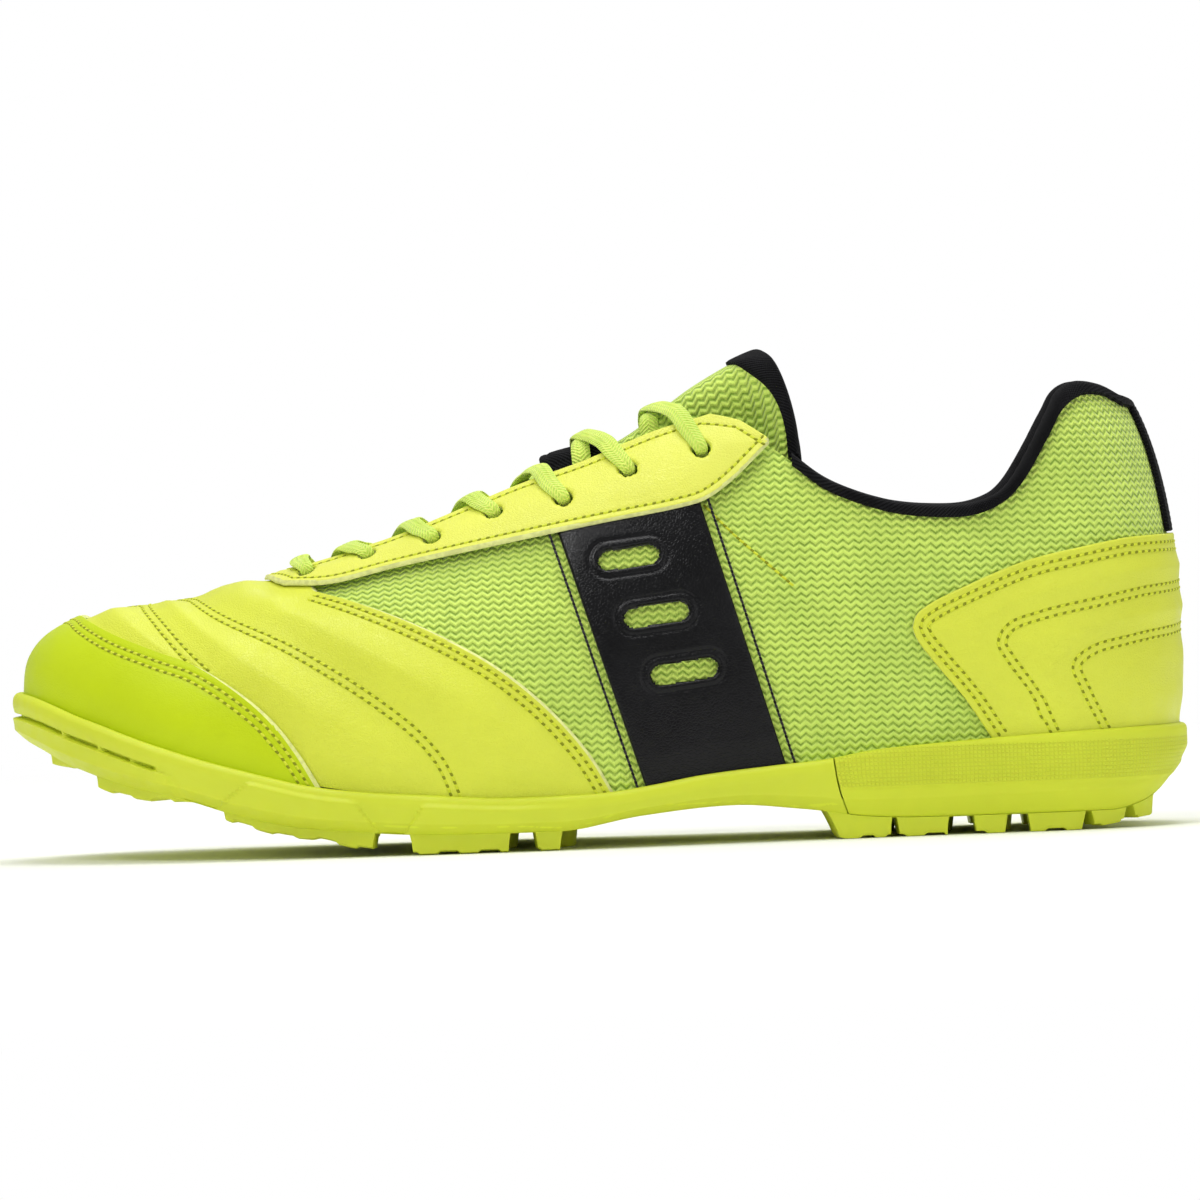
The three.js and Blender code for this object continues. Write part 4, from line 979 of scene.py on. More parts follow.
def wall_profile(x, share):
    """Distance of the plain wall from the feather line, from its lower edge to its rim."""
    outer = wall_inner(x) + WALL
    low = 0.5 - draft(x)
    middle = outer - 0.3 - draft(x) / 2
    full = outer + 0.1
    below = lerp(low, middle, np.clip(share / 0.28, 0, 1) ** 0.8)
    above_it = lerp(middle, full, smooth((share - 0.28) / 0.34))
    return np.where(share < 0.28, below, above_it)


def warp_seam(points):
    """Bends the joint between rubber and foam into its S-curve."""
    x, z = points[..., 0], points[..., 2]
    near = 1 - smooth(np.abs(x - SEAM_X) / 14)
    points[..., 0] = x + (seam_line(z) - SEAM_X) * near
    return points


def round_stations(x_step=0.8):
    """u values round the whole shoe, evenly spaced over the ground."""
    u = np.linspace(0, 6, 4001)
    reach = reaches(outline(u, 0, 0))
    return np.interp(np.linspace(0, reach[-1], int(reach[-1] / x_step)), reach, u)[:-1]


def edge_station(x):
    """u where the feather line passes x, also round the heel."""
    turn = math.acos(min(1.0, max(0.0, (x - HEEL_CENTRE) / (HEEL_END - HEEL_CENTRE))))
    return float(station_at(x)) if x < HEEL_CENTRE else 3 - turn * 2 / math.pi


def half_stations(step, extra=()):
    """Stations from the toe to the heel's back with their mirror images, all round the shoe."""
    u = round_stations(step)
    first = np.unique(np.round(np.concatenate([u[(u > 0) & (u < 3)], list(extra)]), 6))
    return np.concatenate([[0.0], first, [3.0], 6 - first[::-1]])


def closed_rings(rings):
    """Faces over stacked rings, with the first and last ring closed across."""
    count, n = len(rings), len(rings[0])
    cells = grid_cells(count, n).tolist()
    cells += [[r * n + n - 1, (r + 1) * n + n - 1, (r + 1) * n, r * n] for r in range(count - 1)]
    last = (count - 1) * n
    for k in range(n // 2):
        a, b, c, d = k, k + 1, (n - k - 1) % n, (n - k) % n
        cells += [[a, d, c, b], [last + a, last + b, last + c, last + d]]
    cells = [[c for i, c in enumerate(f) if c != f[i - 1]] for f in cells]
    return [f for f in cells if len(f) > 2]


def make_outsole():
    """Rubber cup in front, tray under the foam heel, and the lugs along its edge, in one moulding."""
    seam = float(station_at(SEAM_X))
    ends = [edge_station(x) + d for run in LUG_RUNS for x in run for d in (-0.004, -0.002, 0, 0.002, 0.004)]
    u = half_stations(0.8, ends + [seam - 1e-4, seam + 1e-4])
    x = outline(u, 0, 0)[:, 0]
    behind = (u > seam) & (u < 6 - seam)
    plate = np.where(behind, np.minimum(plate_bottom(x), TRAY_Z - 0.7), plate_bottom(x))
    lugged = in_lug(x)
    foot = np.minimum(lerp(plate, foot_height(x) + serrated(x), lugged), plate)
    step = np.minimum(FOOT_STEP, (plate - foot) / 3)
    drawn_in = behind * HEEL_INSET * smooth((plate_bottom(x) - 8) / 4)  # under the rising back of the foam
    low_out = wall_profile(x, 0) - drawn_in
    rings = [outline(u, -FLOOR_INSET, plate), outline(u, -LUG_DEEP - 0.3, plate)]
    for inward, z in ((0, lerp(foot, plate, 0.4)), (0.4, foot + step), (1, foot)):
        rings.append(outline(u, inward - LUG_DEEP, z))
    for share in (0.3, 0.6, 1):
        rings.append(outline(u, lerp(-LUG_DEEP + 1, low_out - 0.9, share), foot))
    rings.append(outline(u, low_out - 0.25, foot + 0.3 * step))
    flush = 0.75 * smooth((-x) / 4) + 0.1
    for share in np.linspace(0, 1, 7):
        z = lerp(foot + step, plate + 0.1, share)
        rings.append(outline(u, low_out + flush - 0.2 * (1 - share), z))
    top = np.where(behind, TRAY_Z, sole_top(x))
    full_top = np.maximum(sole_top(x), top)
    for share in np.linspace(0, 1, 65)[1:]:
        z = lerp(plate + 0.1, top, share)
        plain = wall_profile(x, (z - plate) / (full_top - plate))
        relief = wall_relief(x, z, full_top, plate)
        inset = drawn_in + behind * TRAY_INSET * smooth((z - plate) / 0.4)
        rings.append(outline(u, plain + relief - inset, z))
    inner = np.where(behind, low_out - 6, wall_inner(x))
    floor = np.where(behind, TRAY_Z - 0.3, feather(x) - lerp(2, 0.5, smooth((x + 137) / 45)))
    lip = np.where(behind, inner, ply_at_wall(x) + 0.12)
    for out, down in ((lip, 0.35), (lip, 1.5), (inner, 2.2)):
        rings.append(outline(u, out, np.maximum(top - down, floor)))
    rings += [outline(u, inner, floor), outline(u, -FLOOR_INSET, floor)]
    grid = warp_seam(np.stack(rings))
    obj = make_mesh("outsole", grid.reshape(-1, 3), closed_rings(rings), [M_RUBBER], crease=35)
    place(obj, "flex", "outsole_forefoot", "outsole_rearfoot", slot="rubber_yellow")


def make_midsole():
    """The foam heel, whose wall hangs down over the rubber tray."""
    seam = float(station_at(SEAM_X + 0.35))
    u = np.linspace(seam, 6 - seam, 420)
    x = outline(u, 0, 0)[:, 0]
    plate, top, bed = plate_bottom(x), sole_top(x), TRAY_Z + GAP
    low = plate + 0.2
    low_out = wall_profile(x, 0)
    up = smooth((plate - 8) / 4)
    reach = reaches(outline(u, 2, 0))
    rings = [
        outline(u, -FLOOR_INSET, bed),
        outline(u, low_out - 1.1 - 2.6 * up, bed),
        outline(u, low_out - 1.0, low),
    ]
    heights = [np.full(len(u), bed), np.full(len(u), bed), low]
    for share in np.linspace(0, 1, 44):
        z = lerp(low, top, share)
        plain = wall_profile(x, (z - plate) / (top - plate)) + 0.28 * smooth((z - 11.4) / 0.8)
        rings.append(outline(u, plain - rounding(top - z, 1.5) - rounding(z - low, 0.25), z))
        heights.append(z)
    floor = np.maximum(TRAY_Z + 2 * GAP, feather(x) - 0.5)
    lip = ply_at_wall(x) + 0.12
    inside = ((lip, top - 0.35), (lip, top - 1.5), (wall_inner(x), top - 2.2))
    for out, z in (*inside, (wall_inner(x), floor), (-FLOOR_INSET, floor)):
        rings.append(outline(u, out, z))
        heights.append(np.zeros(len(u)))
    grid = warp_seam(np.stack(rings))
    uv = np.stack([np.broadcast_to(reach, grid.shape[:2]), np.stack(heights)], -1).reshape(-1, 2)
    faces = tube(len(rings), len(u))
    obj = make_mesh("heel_midsole_foam", grid.reshape(-1, 3), faces, [M_FOAM], uv, crease=35)
    place(obj, "rearfoot", "heel_midsole", slot="foam_yellow")


STUD_ROWS, HEEL_STUDS = (-114, -99, -84, -70, -58, -38, -24, -10), (66, 80, 94)
STUD_SIDES, STUD_WIDTH = 6, 8
STUD_RINGS = ((0, 0.80), (0.08, 0.91), (0.35, 0.99), (0.9, 1.03))  # height, share of the width


def stud(x, y):
    """A tapered six-sided stud. Its foot follows the tread and its root enters the plate."""
    foot = float(foot_height(x))
    slope = math.atan2(float(foot_height(x + 3) - foot_height(x - 3)), 6)
    height = max(2.5, float(plate_bottom(x)) - foot + 1.6)
    rise, radius = np.array((*STUD_RINGS, (height, 1.2))).T * np.array([[1], [STUD_WIDTH / 2]])
    turn = 2 * np.pi * np.arange(STUD_SIDES)[:, None] / STUD_SIDES
    along, across = radius * np.cos(turn), radius * np.sin(turn)
    forward = along * math.cos(slope) - rise * math.sin(slope)
    return np.stack([forward + x, across + y, along * math.sin(slope) + rise * math.cos(slope) + foot], -1)


def make_studs():
    """The studs in the middle of the tread."""
    spots = [(x, lane * (float(bare(station_at(x), 1)[1] - centre_line(x)) - 8) * 0.46)
             for x in STUD_ROWS for lane in (-1, 0, 1)]
    spots += [(x, side) for x in HEEL_STUDS for side in (-8, 8)]
    studs = [stud(x, float(centre_line(x)) + y) for x, y in spots]
    shape = tube(STUD_SIDES, len(STUD_RINGS) + 1)
    each = STUD_SIDES * (len(STUD_RINGS) + 1)
    faces = [[c + i * each for c in face] for i in range(len(studs)) for face in shape]
    obj = make_mesh("tread_studs", np.stack(studs).reshape(-1, 3), faces, [M_RUBBER], crease=60)
    place(obj, "flex", slot="rubber_yellow")


make_outsole()
make_midsole()
make_studs()


# ---- toe cap and vamp ----
CAP_ROWS, QUILT_ROWS, EDGE_ROWS = (2.1, 3.9), (-0.95, 0.95), (1.9, 3.7)  # stitches beside a line


def cap_edge(dx=0.0, dz=0.0, top=-122.5):
    return over_ridge(side_line(shifted(CAP_SEAM, dx, dz)), top)


def make_toe_cap():
    s, t = np.linspace(0, 1, 221), spread(90)
    seam = cap_edge()
    to = even(seam, s)
    v0 = lerp(-1, 1, s)
    u = lerp(0 * v0[:, None], to[:, None, 0], t[None])
    v = lerp(v0[:, None], to[:, None, 1], t[None])
    rows = cap_rows()
    p = bare(u, v)
    near = nearest(p, dense(rows))
    shape = puff(near, 0.45, 5.0) * off_sole(p) - 0.2 * bell(near / 0.6)
    edge = edge_distance(u, v, "d")
    width = lerp(0.45, 1.05, smooth((58 - p[..., 2]) / 18))
    outer = TOP[1] + shape - cut_bevel(edge, width)
    obj = sheet("toe_cap_leather", u, v, outer, TOP[0], [M_LIME, M_EDGE], rim=edge - width)
    place(obj, "flex", "toe_cap", slot="leather_lime")
    stitched("toe_cap_stitching", rows, TOP[1] - 0.12, YELLOW_THREAD, "flex")


def cap_rows():
    seam = cap_edge()
    return [moved_aside(seam, d) for d in CAP_ROWS]


def vamp_rows():
    """Stitch rows of the vamp: two double quilt lines and the double row along its rear edge."""
    rows = []
    for points, top in zip(QUILTS, QUILT_TOPS):
        line = over_ridge(side_line(points), top)
        rows += [moved_aside(line, d) for d in QUILT_ROWS]
    rear = side_line(VAMP_REAR)
    return rows + [moved_aside(line, d) for line in (rear, mirrored(rear)) for d in EDGE_ROWS]


def make_vamp():
    front = over_ridge(side_line(shifted(CAP_SEAM, -6, -5)[1:]), -125.5)
    rear = over_ridge(side_line(VAMP_REAR), THROAT_FRONT - 0.5)
    u, v = between(front, rear, 261, spread(110))
    p = bare(u, v)
    rows = vamp_rows()
    near = nearest(p, dense(rows))
    cap = nearest(p, dense([cap_edge()]))
    under_cap = 1 - smooth((nearest(p, dense([front])) - cap - 3) / 4)
    under_stay = smooth((p[..., 0] + 84) / 8) * smooth((p[..., 2] - 58) / 4)
    rise = puff(np.minimum(near, cap + 1), 1.9, 5.6) * (1 - under_stay) * (1 - under_cap) * off_sole(p)
    groove = 0.22 * bell(near / 0.6)
    edge = edge_distance(u, v, "d")
    outer = MIDDLE[1] + rise - groove - cut_bevel(edge, 0.9)
    holes = eyelet_holes(PLY_HOLE)
    paints = [M_LEATHER, M_EDGE]
    obj = sheet("vamp_leather", u, v, outer, MIDDLE[0], paints, holes=holes, rim=edge - 0.9)
    place(obj, "flex", "vamp", slot="leather_yellow")
    stitched("vamp_stitching", rows, MIDDLE[1] - 0.1, YELLOW_THREAD, "flex")


make_toe_cap()
make_vamp()


# ---- quarters and linings ----
def throat_edge(x0, x1, side, inset):
    x = np.linspace(x0, x1, 40)
    return above(x, side * (throat(x) + inset))


def make_quarter(word, side):
    end = HEEL_BACK - 0.003
    rise = side_line([(38, 96.6)] + COLLAR, side)
    back = np.array([[end, float(climb(end, COLLAR_BACK_Z, side))]])
    top = np.vstack([throat_edge(THROAT_FRONT + 1.5, 29, side, 1.5), rise, back])
    front = side_line(shifted(VAMP_REAR, -9, -5)[::-1][:-1], side)
    bottom = np.vstack([front, along_feather(float(station_at(-2)), end, side)])
    u, v = between(bottom, top, 301, spread(110))
    holes = eyelet_holes(PLY_HOLE)
    obj = sheet(f"mesh_quarter_{word}_knit", u, v, BASE[1], BASE[0], [M_MESH], cloth_map(u, v), holes)
    place(obj, "flex", f"mesh_quarter_{word}", slot="mesh_green")
    # A tape sewn down behind the eyestay shows as one row of stitches.
    row = side_line([(27.5, 79.8), (34, 73), (41, 66.5), (48, 60)], side)
    stitched(f"quarter_stitching_{word}", [row], BASE[1] + 0.02, YELLOW_THREAD, "rearfoot")


def make_quarter_lining(word, side):
    front = side_line(shifted(VAMP_REAR, -5)[::-1], side)
    bottom = np.vstack([front, along_feather(float(station_at(2)), float(station_at(60)), side)])
    rear = side_line([(38, 96.6), (44, 92.4), (46.5, 90)], side)
    top = np.vstack([throat_edge(THROAT_FRONT + 2, 29, side, 1.5), rear])
    u, v = between(bottom, top, 141, np.linspace(0, 1, 50))
    holes = eyelet_holes(PLY_HOLE)
    obj = sheet(f"quarter_lining_{word}_cloth", u, v, LINING[1], LINING[0], [M_BLACK], cloth_map(u, v), holes)
    place(obj, "flex", f"quarter_lining_{word}", slot="fabric_black")


for word, side in SIDES:
    make_quarter(word, side)
    make_quarter_lining(word, side)


# ---- overlays: eyestay, side saddles, heel foxing and heel tape ----
STAY_ROW, SADDLE_ROW = 2.1, 2.0  # from the edges to the rows of stitches


def make_eyestay():
    outer = over_ridge(side_line(EYESTAY_LOWER), -78)
    edge = throat_edge(THROAT_FRONT + 1.5, 30, -1, 0)[::-1]
    inner = over_ridge(np.vstack([side_line([(43.4, 94.4), (37, 98.4)]), edge]), THROAT_FRONT)
    u, v = between(outer, inner, 521, spread(46))
    p = bare(u, v)
    rows = [moved_aside(outer, -STAY_ROW), moved_aside(inner, STAY_ROW)]
    near = nearest(p, dense(rows))
    round_hole = rounding(hole_distance(p, EYELET_RADIUS), 0.8)
    rise = puff(near, 0.5, 3.5) - 0.2 * bell(near / 0.5)
    edge = edge_distance(u, v, "abc")
    drop = cut_bevel(edge, 0.6, 0.8) + rounding(edge_distance(u, v, "d"), 0.6)
    holes = eyelet_holes(EYELET_RADIUS)
    outer_depth = TOP[1] + rise - drop - round_hole
    # The eyestay's paler leather is a painted highlight.
    paints = [M_HIGHLIT, M_EDGE]
    obj = sheet("eyestay_leather", u, v, outer_depth, TOP[0], paints, holes=holes, rim=edge - 0.6)
    place(obj, "flex", "eyestay", slot="leather_yellow")
    stitched("eyestay_stitching", rows, TOP[1] - 0.12, YELLOW_THREAD, "flex")


SADDLE = {"front": ((-9, 79), (11, 14)), "rear": ((25, 85), (45, 16))}
SLOTS = [(9, 68, 15), (15, 54.5, 16), (21, 41, 16.5)]
SLOT_WIDTH, SLOT_TILT = 5.0, 0.12


def slot_distance(points):
    """Distance outside the saddle's rounded windows, seen from the side; negative inside."""
    best = np.full(points.shape[:-1], 99.0)
    for x, z, length in SLOTS:
        dx, dz = points[..., 0] - x, points[..., 2] - z
        a = dx * math.cos(SLOT_TILT) + dz * math.sin(SLOT_TILT)
        b = -dx * math.sin(SLOT_TILT) + dz * math.cos(SLOT_TILT)
        straight = (length - SLOT_WIDTH) / 2
        best = np.minimum(best, np.hypot(np.maximum(np.abs(a) - straight, 0), b) - SLOT_WIDTH / 2)
    return best


def make_saddle(word, side):
    def edge(ends):
        (x0, z0), (x1, z1) = ends
        return side_line([(x0, z0), ((x0 + x1) / 2, (z0 + z1) / 2), (x1, z1)], side)

    front, rear = edge(SADDLE["front"]), edge(SADDLE["rear"])
    u, v = between(front, rear, 241, spread(120))
    p = bare(u, v)
    inward = SADDLE_ROW * side
    rows = [moved_aside(front, inward), moved_aside(rear, -inward)]
    near = nearest(p, dense(rows))
    window = slot_distance(p)
    rise = puff(near, 0.5, 3.2) * off_sole(p) - 0.22 * bell(near / 0.45)
    rise -= 0.35 * bell((window - 1.8) / 0.5)
    drop = rounding(np.minimum(edge_distance(u, v, "cd"), np.maximum(window, 0)), 0.6)
    cells = grid_cells(*u.shape)
    cells = cells[~(window < 0).ravel()[cells].all(1)]
    top, low = skin(u, v, MIDDLE[1] + rise - drop), skin(u, v, MIDDLE[0])
    obj = shell(f"side_saddle_{word}_coated", top, low, cells, [M_GLOSS, M_BLACK_EDGE])
    place(obj, "flex", f"side_saddle_{word}", slot="gloss_black")
    stitched(f"side_saddle_{word}_stitching", rows, MIDDLE[1] - 0.1, BLACK_THREAD, "flex")


def round_at(line, z):
    return round_heel(np.vstack([line, [[HEEL_BACK, float(climb(HEEL_BACK, z))]]]))


def make_heel():
    top = round_at(side_line(FOXING_TOP), FOXING_BACK_Z)
    foot_line = np.vstack([side_line(FOXING_FRONT), along_feather(float(station_at(95)), HEEL_BACK)])
    foot = round_heel(foot_line)
    u, v = between(top, foot, 341, spread(90))
    p = bare(u, v)
    border = round_at(np.vstack([side_line(FOXING_FRONT)[::-1], side_line(FOXING_TOP)[1:]]), FOXING_BACK_Z)
    rows = [moved_aside(border, -d) for d in EDGE_ROWS]
    for points, z in HEEL_ROWS:
        line = round_at(side_line(points), z)
        rows += [moved_aside(line, d) for d in (-0.9, 0.9)]
    near = nearest(p, dense(rows))
    rise = puff(near, 0.75, 3.6) * off_sole(p) - 0.2 * bell(near / 0.5)
    edge = nearest(p, dense([border], 0.4))
    outer = MIDDLE[1] + rise - rounding(edge, 0.7)
    obj = sheet("heel_foxing_leather", u, v, outer, MIDDLE[0], [M_LEATHER, M_EDGE])
    place(obj, "rearfoot", "heel_foxing", slot="leather_yellow")
    stitched("heel_foxing_stitching", rows, MIDDLE[1] - 0.1, YELLOW_THREAD, "rearfoot")

    def tape_edge(z):
        u_side = HEEL_BACK - np.linspace(0.17, 0, 12)
        return round_heel(np.stack([u_side, climb(u_side, z)], -1))

    u, v = between(tape_edge(69.8), tape_edge(99.3), 61, spread(60))
    p = bare(u, v)
    uv = np.stack([p[..., 1], p[..., 2]], -1)
    drop = rounding(edge_distance(u, v, "abc"), 0.5)
    rib = 0.05 * np.cos(2 * np.pi * p[..., 2] / 1.4)
    obj = sheet("heel_tape_woven", u, v, MIDDLE[1] - drop + rib, MIDDLE[0], [M_BLACK], uv)
    place(obj, "rearfoot", "heel_tape", slot="fabric_black")


make_eyestay()
for word, side in SIDES:
    make_saddle(word, side)
make_heel()

# ---- padded collar ----
padding = curve([(48, 0.7), (66, 4.4), (140, 4.4)])
ROLL_OUTER = GAP
COLLAR_SWELL = 1.6
roll_height = curve([(50, 1), (96, 1), (107, 4.5), (114, 3.4), (120, 2.2), (130, 1.5)])


def padded_edge(dz):
    points = [p for p in COLLAR if p[0] > COLLAR_FRONT]
    back = [[HEEL_BACK, float(climb(HEEL_BACK, COLLAR_BACK_Z + dz))]]
    return np.vstack([side_line(shifted(points, 0, dz)), back])


def lined_depth(u, v):
    return COUNTER[1] - padding(bare(u, v)[..., 0]) - GAP


def beyond(u, v, w, depth):
    """A point near (u, v): depth outside the surface and w further up along it."""
    up = unit(bare(u, v * (1 - STEP)) - bare(u, v * (1 + STEP)))
    return skin(u, v, np.broadcast_to(depth, np.shape(u))) + up * np.asarray(w)[..., None]


def make_collar():
    columns, climb_rows, roll_rows = 300, 46, 18
    shares = np.linspace(0, 1, columns + 1)
    top = even(round_heel(padded_edge(0.5)), shares)
    foot = even(round_heel(along_feather(float(station_at(62)), HEEL_BACK)), shares)
    u, v = pair(top)
    layers = []
    for thick in (0.0, SKIN):
        rows = []
        for row in range(climb_rows):
            share = row / climb_rows
            now = lerp(foot, top, share)
            deep = lined_depth(*pair(now)) - 0.2
            soft = 0.5 * math.sin(math.pi * min(1, max(0, (share - 0.45) / 0.55)))
            depth = lerp(COUNTER[0] - GAP, deep, smooth((share - 0.02) / 0.3))
            rows.append(skin(*pair(now), depth - thick - soft))
        high = lined_depth(u, v)
        for row in range(roll_rows + 1):
            turn = math.pi * (roll_rows - row) / roll_rows
            rise = (roll_height(bare(u, v)[:, 0]) + thick) * math.sin(turn)
            middle, half = (high + ROLL_OUTER) / 2, (ROLL_OUTER - high) / 2
            rows.append(beyond(u, v, rise, middle + (half + thick) * math.cos(turn)))
        for down in (0.5, 1.0, 1.6):
            rows.append(beyond(u, v, -down, ROLL_OUTER + thick - 0.12 * down))
        layers.append(np.stack(rows, 1))
    inner, outer = layers
    n, m = outer.shape[:2]
    coarse = outer[::3, ::2]
    sewn = np.zeros(coarse.shape[:2], bool)
    sewn[[0, -1]] = sewn[:, 0] = sewn[:, (climb_rows + roll_rows // 2) // 2:] = True
    swell = finer(padded(coarse, sewn, COLLAR_SWELL), n, m)
    inner, outer = inner + swell, outer + swell
    uv = woven(outer, climb_rows + roll_rows // 2)
    obj = shell("collar_lining_cloth", outer, inner, grid_cells(n, m), [M_BLACK], uv)
    place(obj, "rearfoot", "collar_lining", slot="fabric_black")


make_collar()

# ---- tongue ----
tongue_ridge = curve([(-70, -4), (-40, -2.6), (-10, -1.6), (10, -0.8), (28, 4), (46, 6.8)])
tongue_half = curve([(-66, 11), (-40, 19), (0, 23), (30, 24), (49, 21)])
TONGUE_SIDE, TONGUE_FRONT, TONGUE_TIP, TONGUE_CORNER = -5.8, -64.0, 41.8, 48.8
TONGUE_FOAM, TONGUE_SWELL = 3.0, 1.2
TONGUE_SPLIT = 0.66  # the tongue is parted under the lace, at this share of its length
PLIES = {
    "outer": (-SKIN, 0.0),
    "foam": (-SKIN - GAP - TONGUE_FOAM, -SKIN - GAP),
    "lining": (-2 * SKIN - 2 * GAP - TONGUE_FOAM, -SKIN - 2 * GAP - TONGUE_FOAM),
}


def tongue_top(x, y):
    out = np.abs(y) / (throat(x) * lerp(1, 1.9, smooth((x - 36) / 12)))
    return lerp(tongue_ridge(x), TONGUE_SIDE, smooth((out - 0.3) / 0.7))


def tongue_place(s, t):
    share = 2 * t - 1
    end = lerp(TONGUE_TIP, TONGUE_CORNER, np.sin(np.abs(share) * np.pi / 2) ** 1.2)
    x = lerp(TONGUE_FRONT, end, s)
    return x, share * tongue_half(x)


def tongue_spot(s, t, depth):
    x, y = tongue_place(s, t)
    station = above(x, y)
    return skin(*pair(station), tongue_top(x, y) + depth)


def make_tongue_ply(kind, node, paint, s0, s1, where, word, swell=0.0):
    s, t = np.meshgrid(np.linspace(s0, s1, 90), np.linspace(0, 1, 91), indexing="ij")
    x, y = tongue_place(s, t)
    station = above(x, y)
    low, high = PLIES[kind]
    depth = tongue_top(x, y)
    across = lengths(skin(*pair(station), depth), 1)
    uv = np.stack([x, np.abs(across - across[:, -1:] / 2)], -1)
    if swell:
        grid = skin(*pair(station), depth + high)[::2, ::2]
        sewn = np.zeros(grid.shape[:2], bool)
        sewn[[0, -1]] = sewn[:, [0, 1, -2, -1]] = True
        sewn[:3] = sewn[-2:] = True
        pushed = finer(padded(grid, sewn, swell), *s.shape)
        depth = depth + (pushed * outward(*pair(station))).sum(-1)
    obj = sheet(f"{node}_{word}", *pair(station), depth + high, depth + low, [paint], uv)
    place(obj, where, node)


def make_tongue():
    for kind, node, paint in (("outer", "tongue_outer", M_MESH), ("foam", "tongue_foam", M_BLACK_FOAM),
                              ("lining", "tongue_lining", M_BLACK)):
        make_tongue_ply(kind, node, paint, 0, TONGUE_SPLIT, "flex", "base")
        make_tongue_ply(kind, node, paint, TONGUE_SPLIT, 1, "tongue", "end", TONGUE_SWELL * (kind == "outer"))
    make_tongue_binding()
    make_keeper()


def make_tongue_binding():
    """A folded band round the tongue's end, wider over its middle than at its corners."""
    t = np.linspace(0, 1, 121)
    bottom, top = PLIES["lining"][0], PLIES["outer"][1]
    band = lerp(1.3, 6.2, np.sin(np.pi * t) ** 3)  # how far it reaches over the face
    length = TONGUE_TIP - TONGUE_FRONT
    layers = []
    for thick in (0.0, 0.75):
        rows = []
        for share in np.linspace(1, 0, 9):
            s = 1 - band * share / length
            rows.append(tongue_spot(s, t, top + 0.25 + thick - 0.2 * (share == 1)))
        along = unit(tongue_spot(1, t, (top + bottom) / 2) - tongue_spot(0.97, t, (top + bottom) / 2))
        end = tongue_spot(1, t, (top + bottom) / 2)
        up = unit(tongue_spot(1, t, top) - tongue_spot(1, t, bottom))
        half = (top - bottom) / 2 + 0.25 + thick
        for turn in np.linspace(0, np.pi, 15)[1:-1]:
            rows.append(end + up * half * math.cos(turn) + along * (0.2 + (0.6 + thick) * math.sin(turn)))
        for share in np.linspace(0, 1, 7):
            s = 1 - (band - 0.6) * share / length
            rows.append(tongue_spot(s, t, bottom - 0.25 - thick))
        layers.append(np.stack(rows, 1))
    inner, outer = layers
    cells = grid_cells(*outer.shape[:2])
    obj = shell("tongue_binding_band", outer, inner, cells, [M_BLACK], woven(outer, 12))
    place(obj, "tongue", "tongue_binding", slot="fabric_black")


KEEPER = {"front": -10.5, "back": 6.0, "half": 8.5, "thick": 2.2}


def keeper_rise(x):
    """How far the loop's middle stands off the tongue, most at its front."""
    return 2.6 * (1 - smooth((x - KEEPER["front"]) / (KEEPER["back"] - KEEPER["front"])))


def make_keeper():
    """The plain black loop on the tongue that the lace runs under and over."""
    s, t = np.meshgrid(spread(60), spread(60), indexing="ij")
    x = lerp(KEEPER["front"], KEEPER["back"], s)
    y = (2 * t - 1) * KEEPER["half"]
    station = above(x, y)
    u, v = pair(station)
    depth = tongue_top(x, y) + GAP + keeper_rise(x) * np.cos(y / KEEPER["half"] * np.pi / 2)
    nose = rounding(edge_distance(u, v, "a"), KEEPER["thick"] / 2)
    drop = nose + rounding(edge_distance(u, v, "bcd"), 0.55)
    row = 0.2 * bell((edge_distance(u, v, "abcd") - 2.4) / 0.4)
    uv = np.stack([x, y], -1)
    obj = sheet("lace_keeper_cloth", u, v, depth + KEEPER["thick"] - drop - row, depth + nose, [M_BLACK], uv)
    place(obj, "rearfoot", "lace_keeper", slot="fabric_black")


make_tongue()

# ---- lace ----
OVER = TOP[1] + 0.35 + LACE_THICK / 2
UNDER = LINING[0] - 0.6 - LACE_THICK / 2
ON_TONGUE = 0.3 + LACE_THICK / 2
AGLET_RADIUS, LACE_STEP, LACE_AROUND = 1.35, 0.45, 24
CROSSING = 0.36  # where the two halves cross, as a share of the way between two eyelets


def keeper_lift(x):
    if not KEEPER["front"] - 3 < x < KEEPER["back"] + 3:
        return 0.0
    return KEEPER["thick"] + GAP + float(keeper_rise(x))


def lace_stop(x, y, depth, slim=1.0):
    u, v = above(x, y)
    return (*skin(u, v, depth), slim)


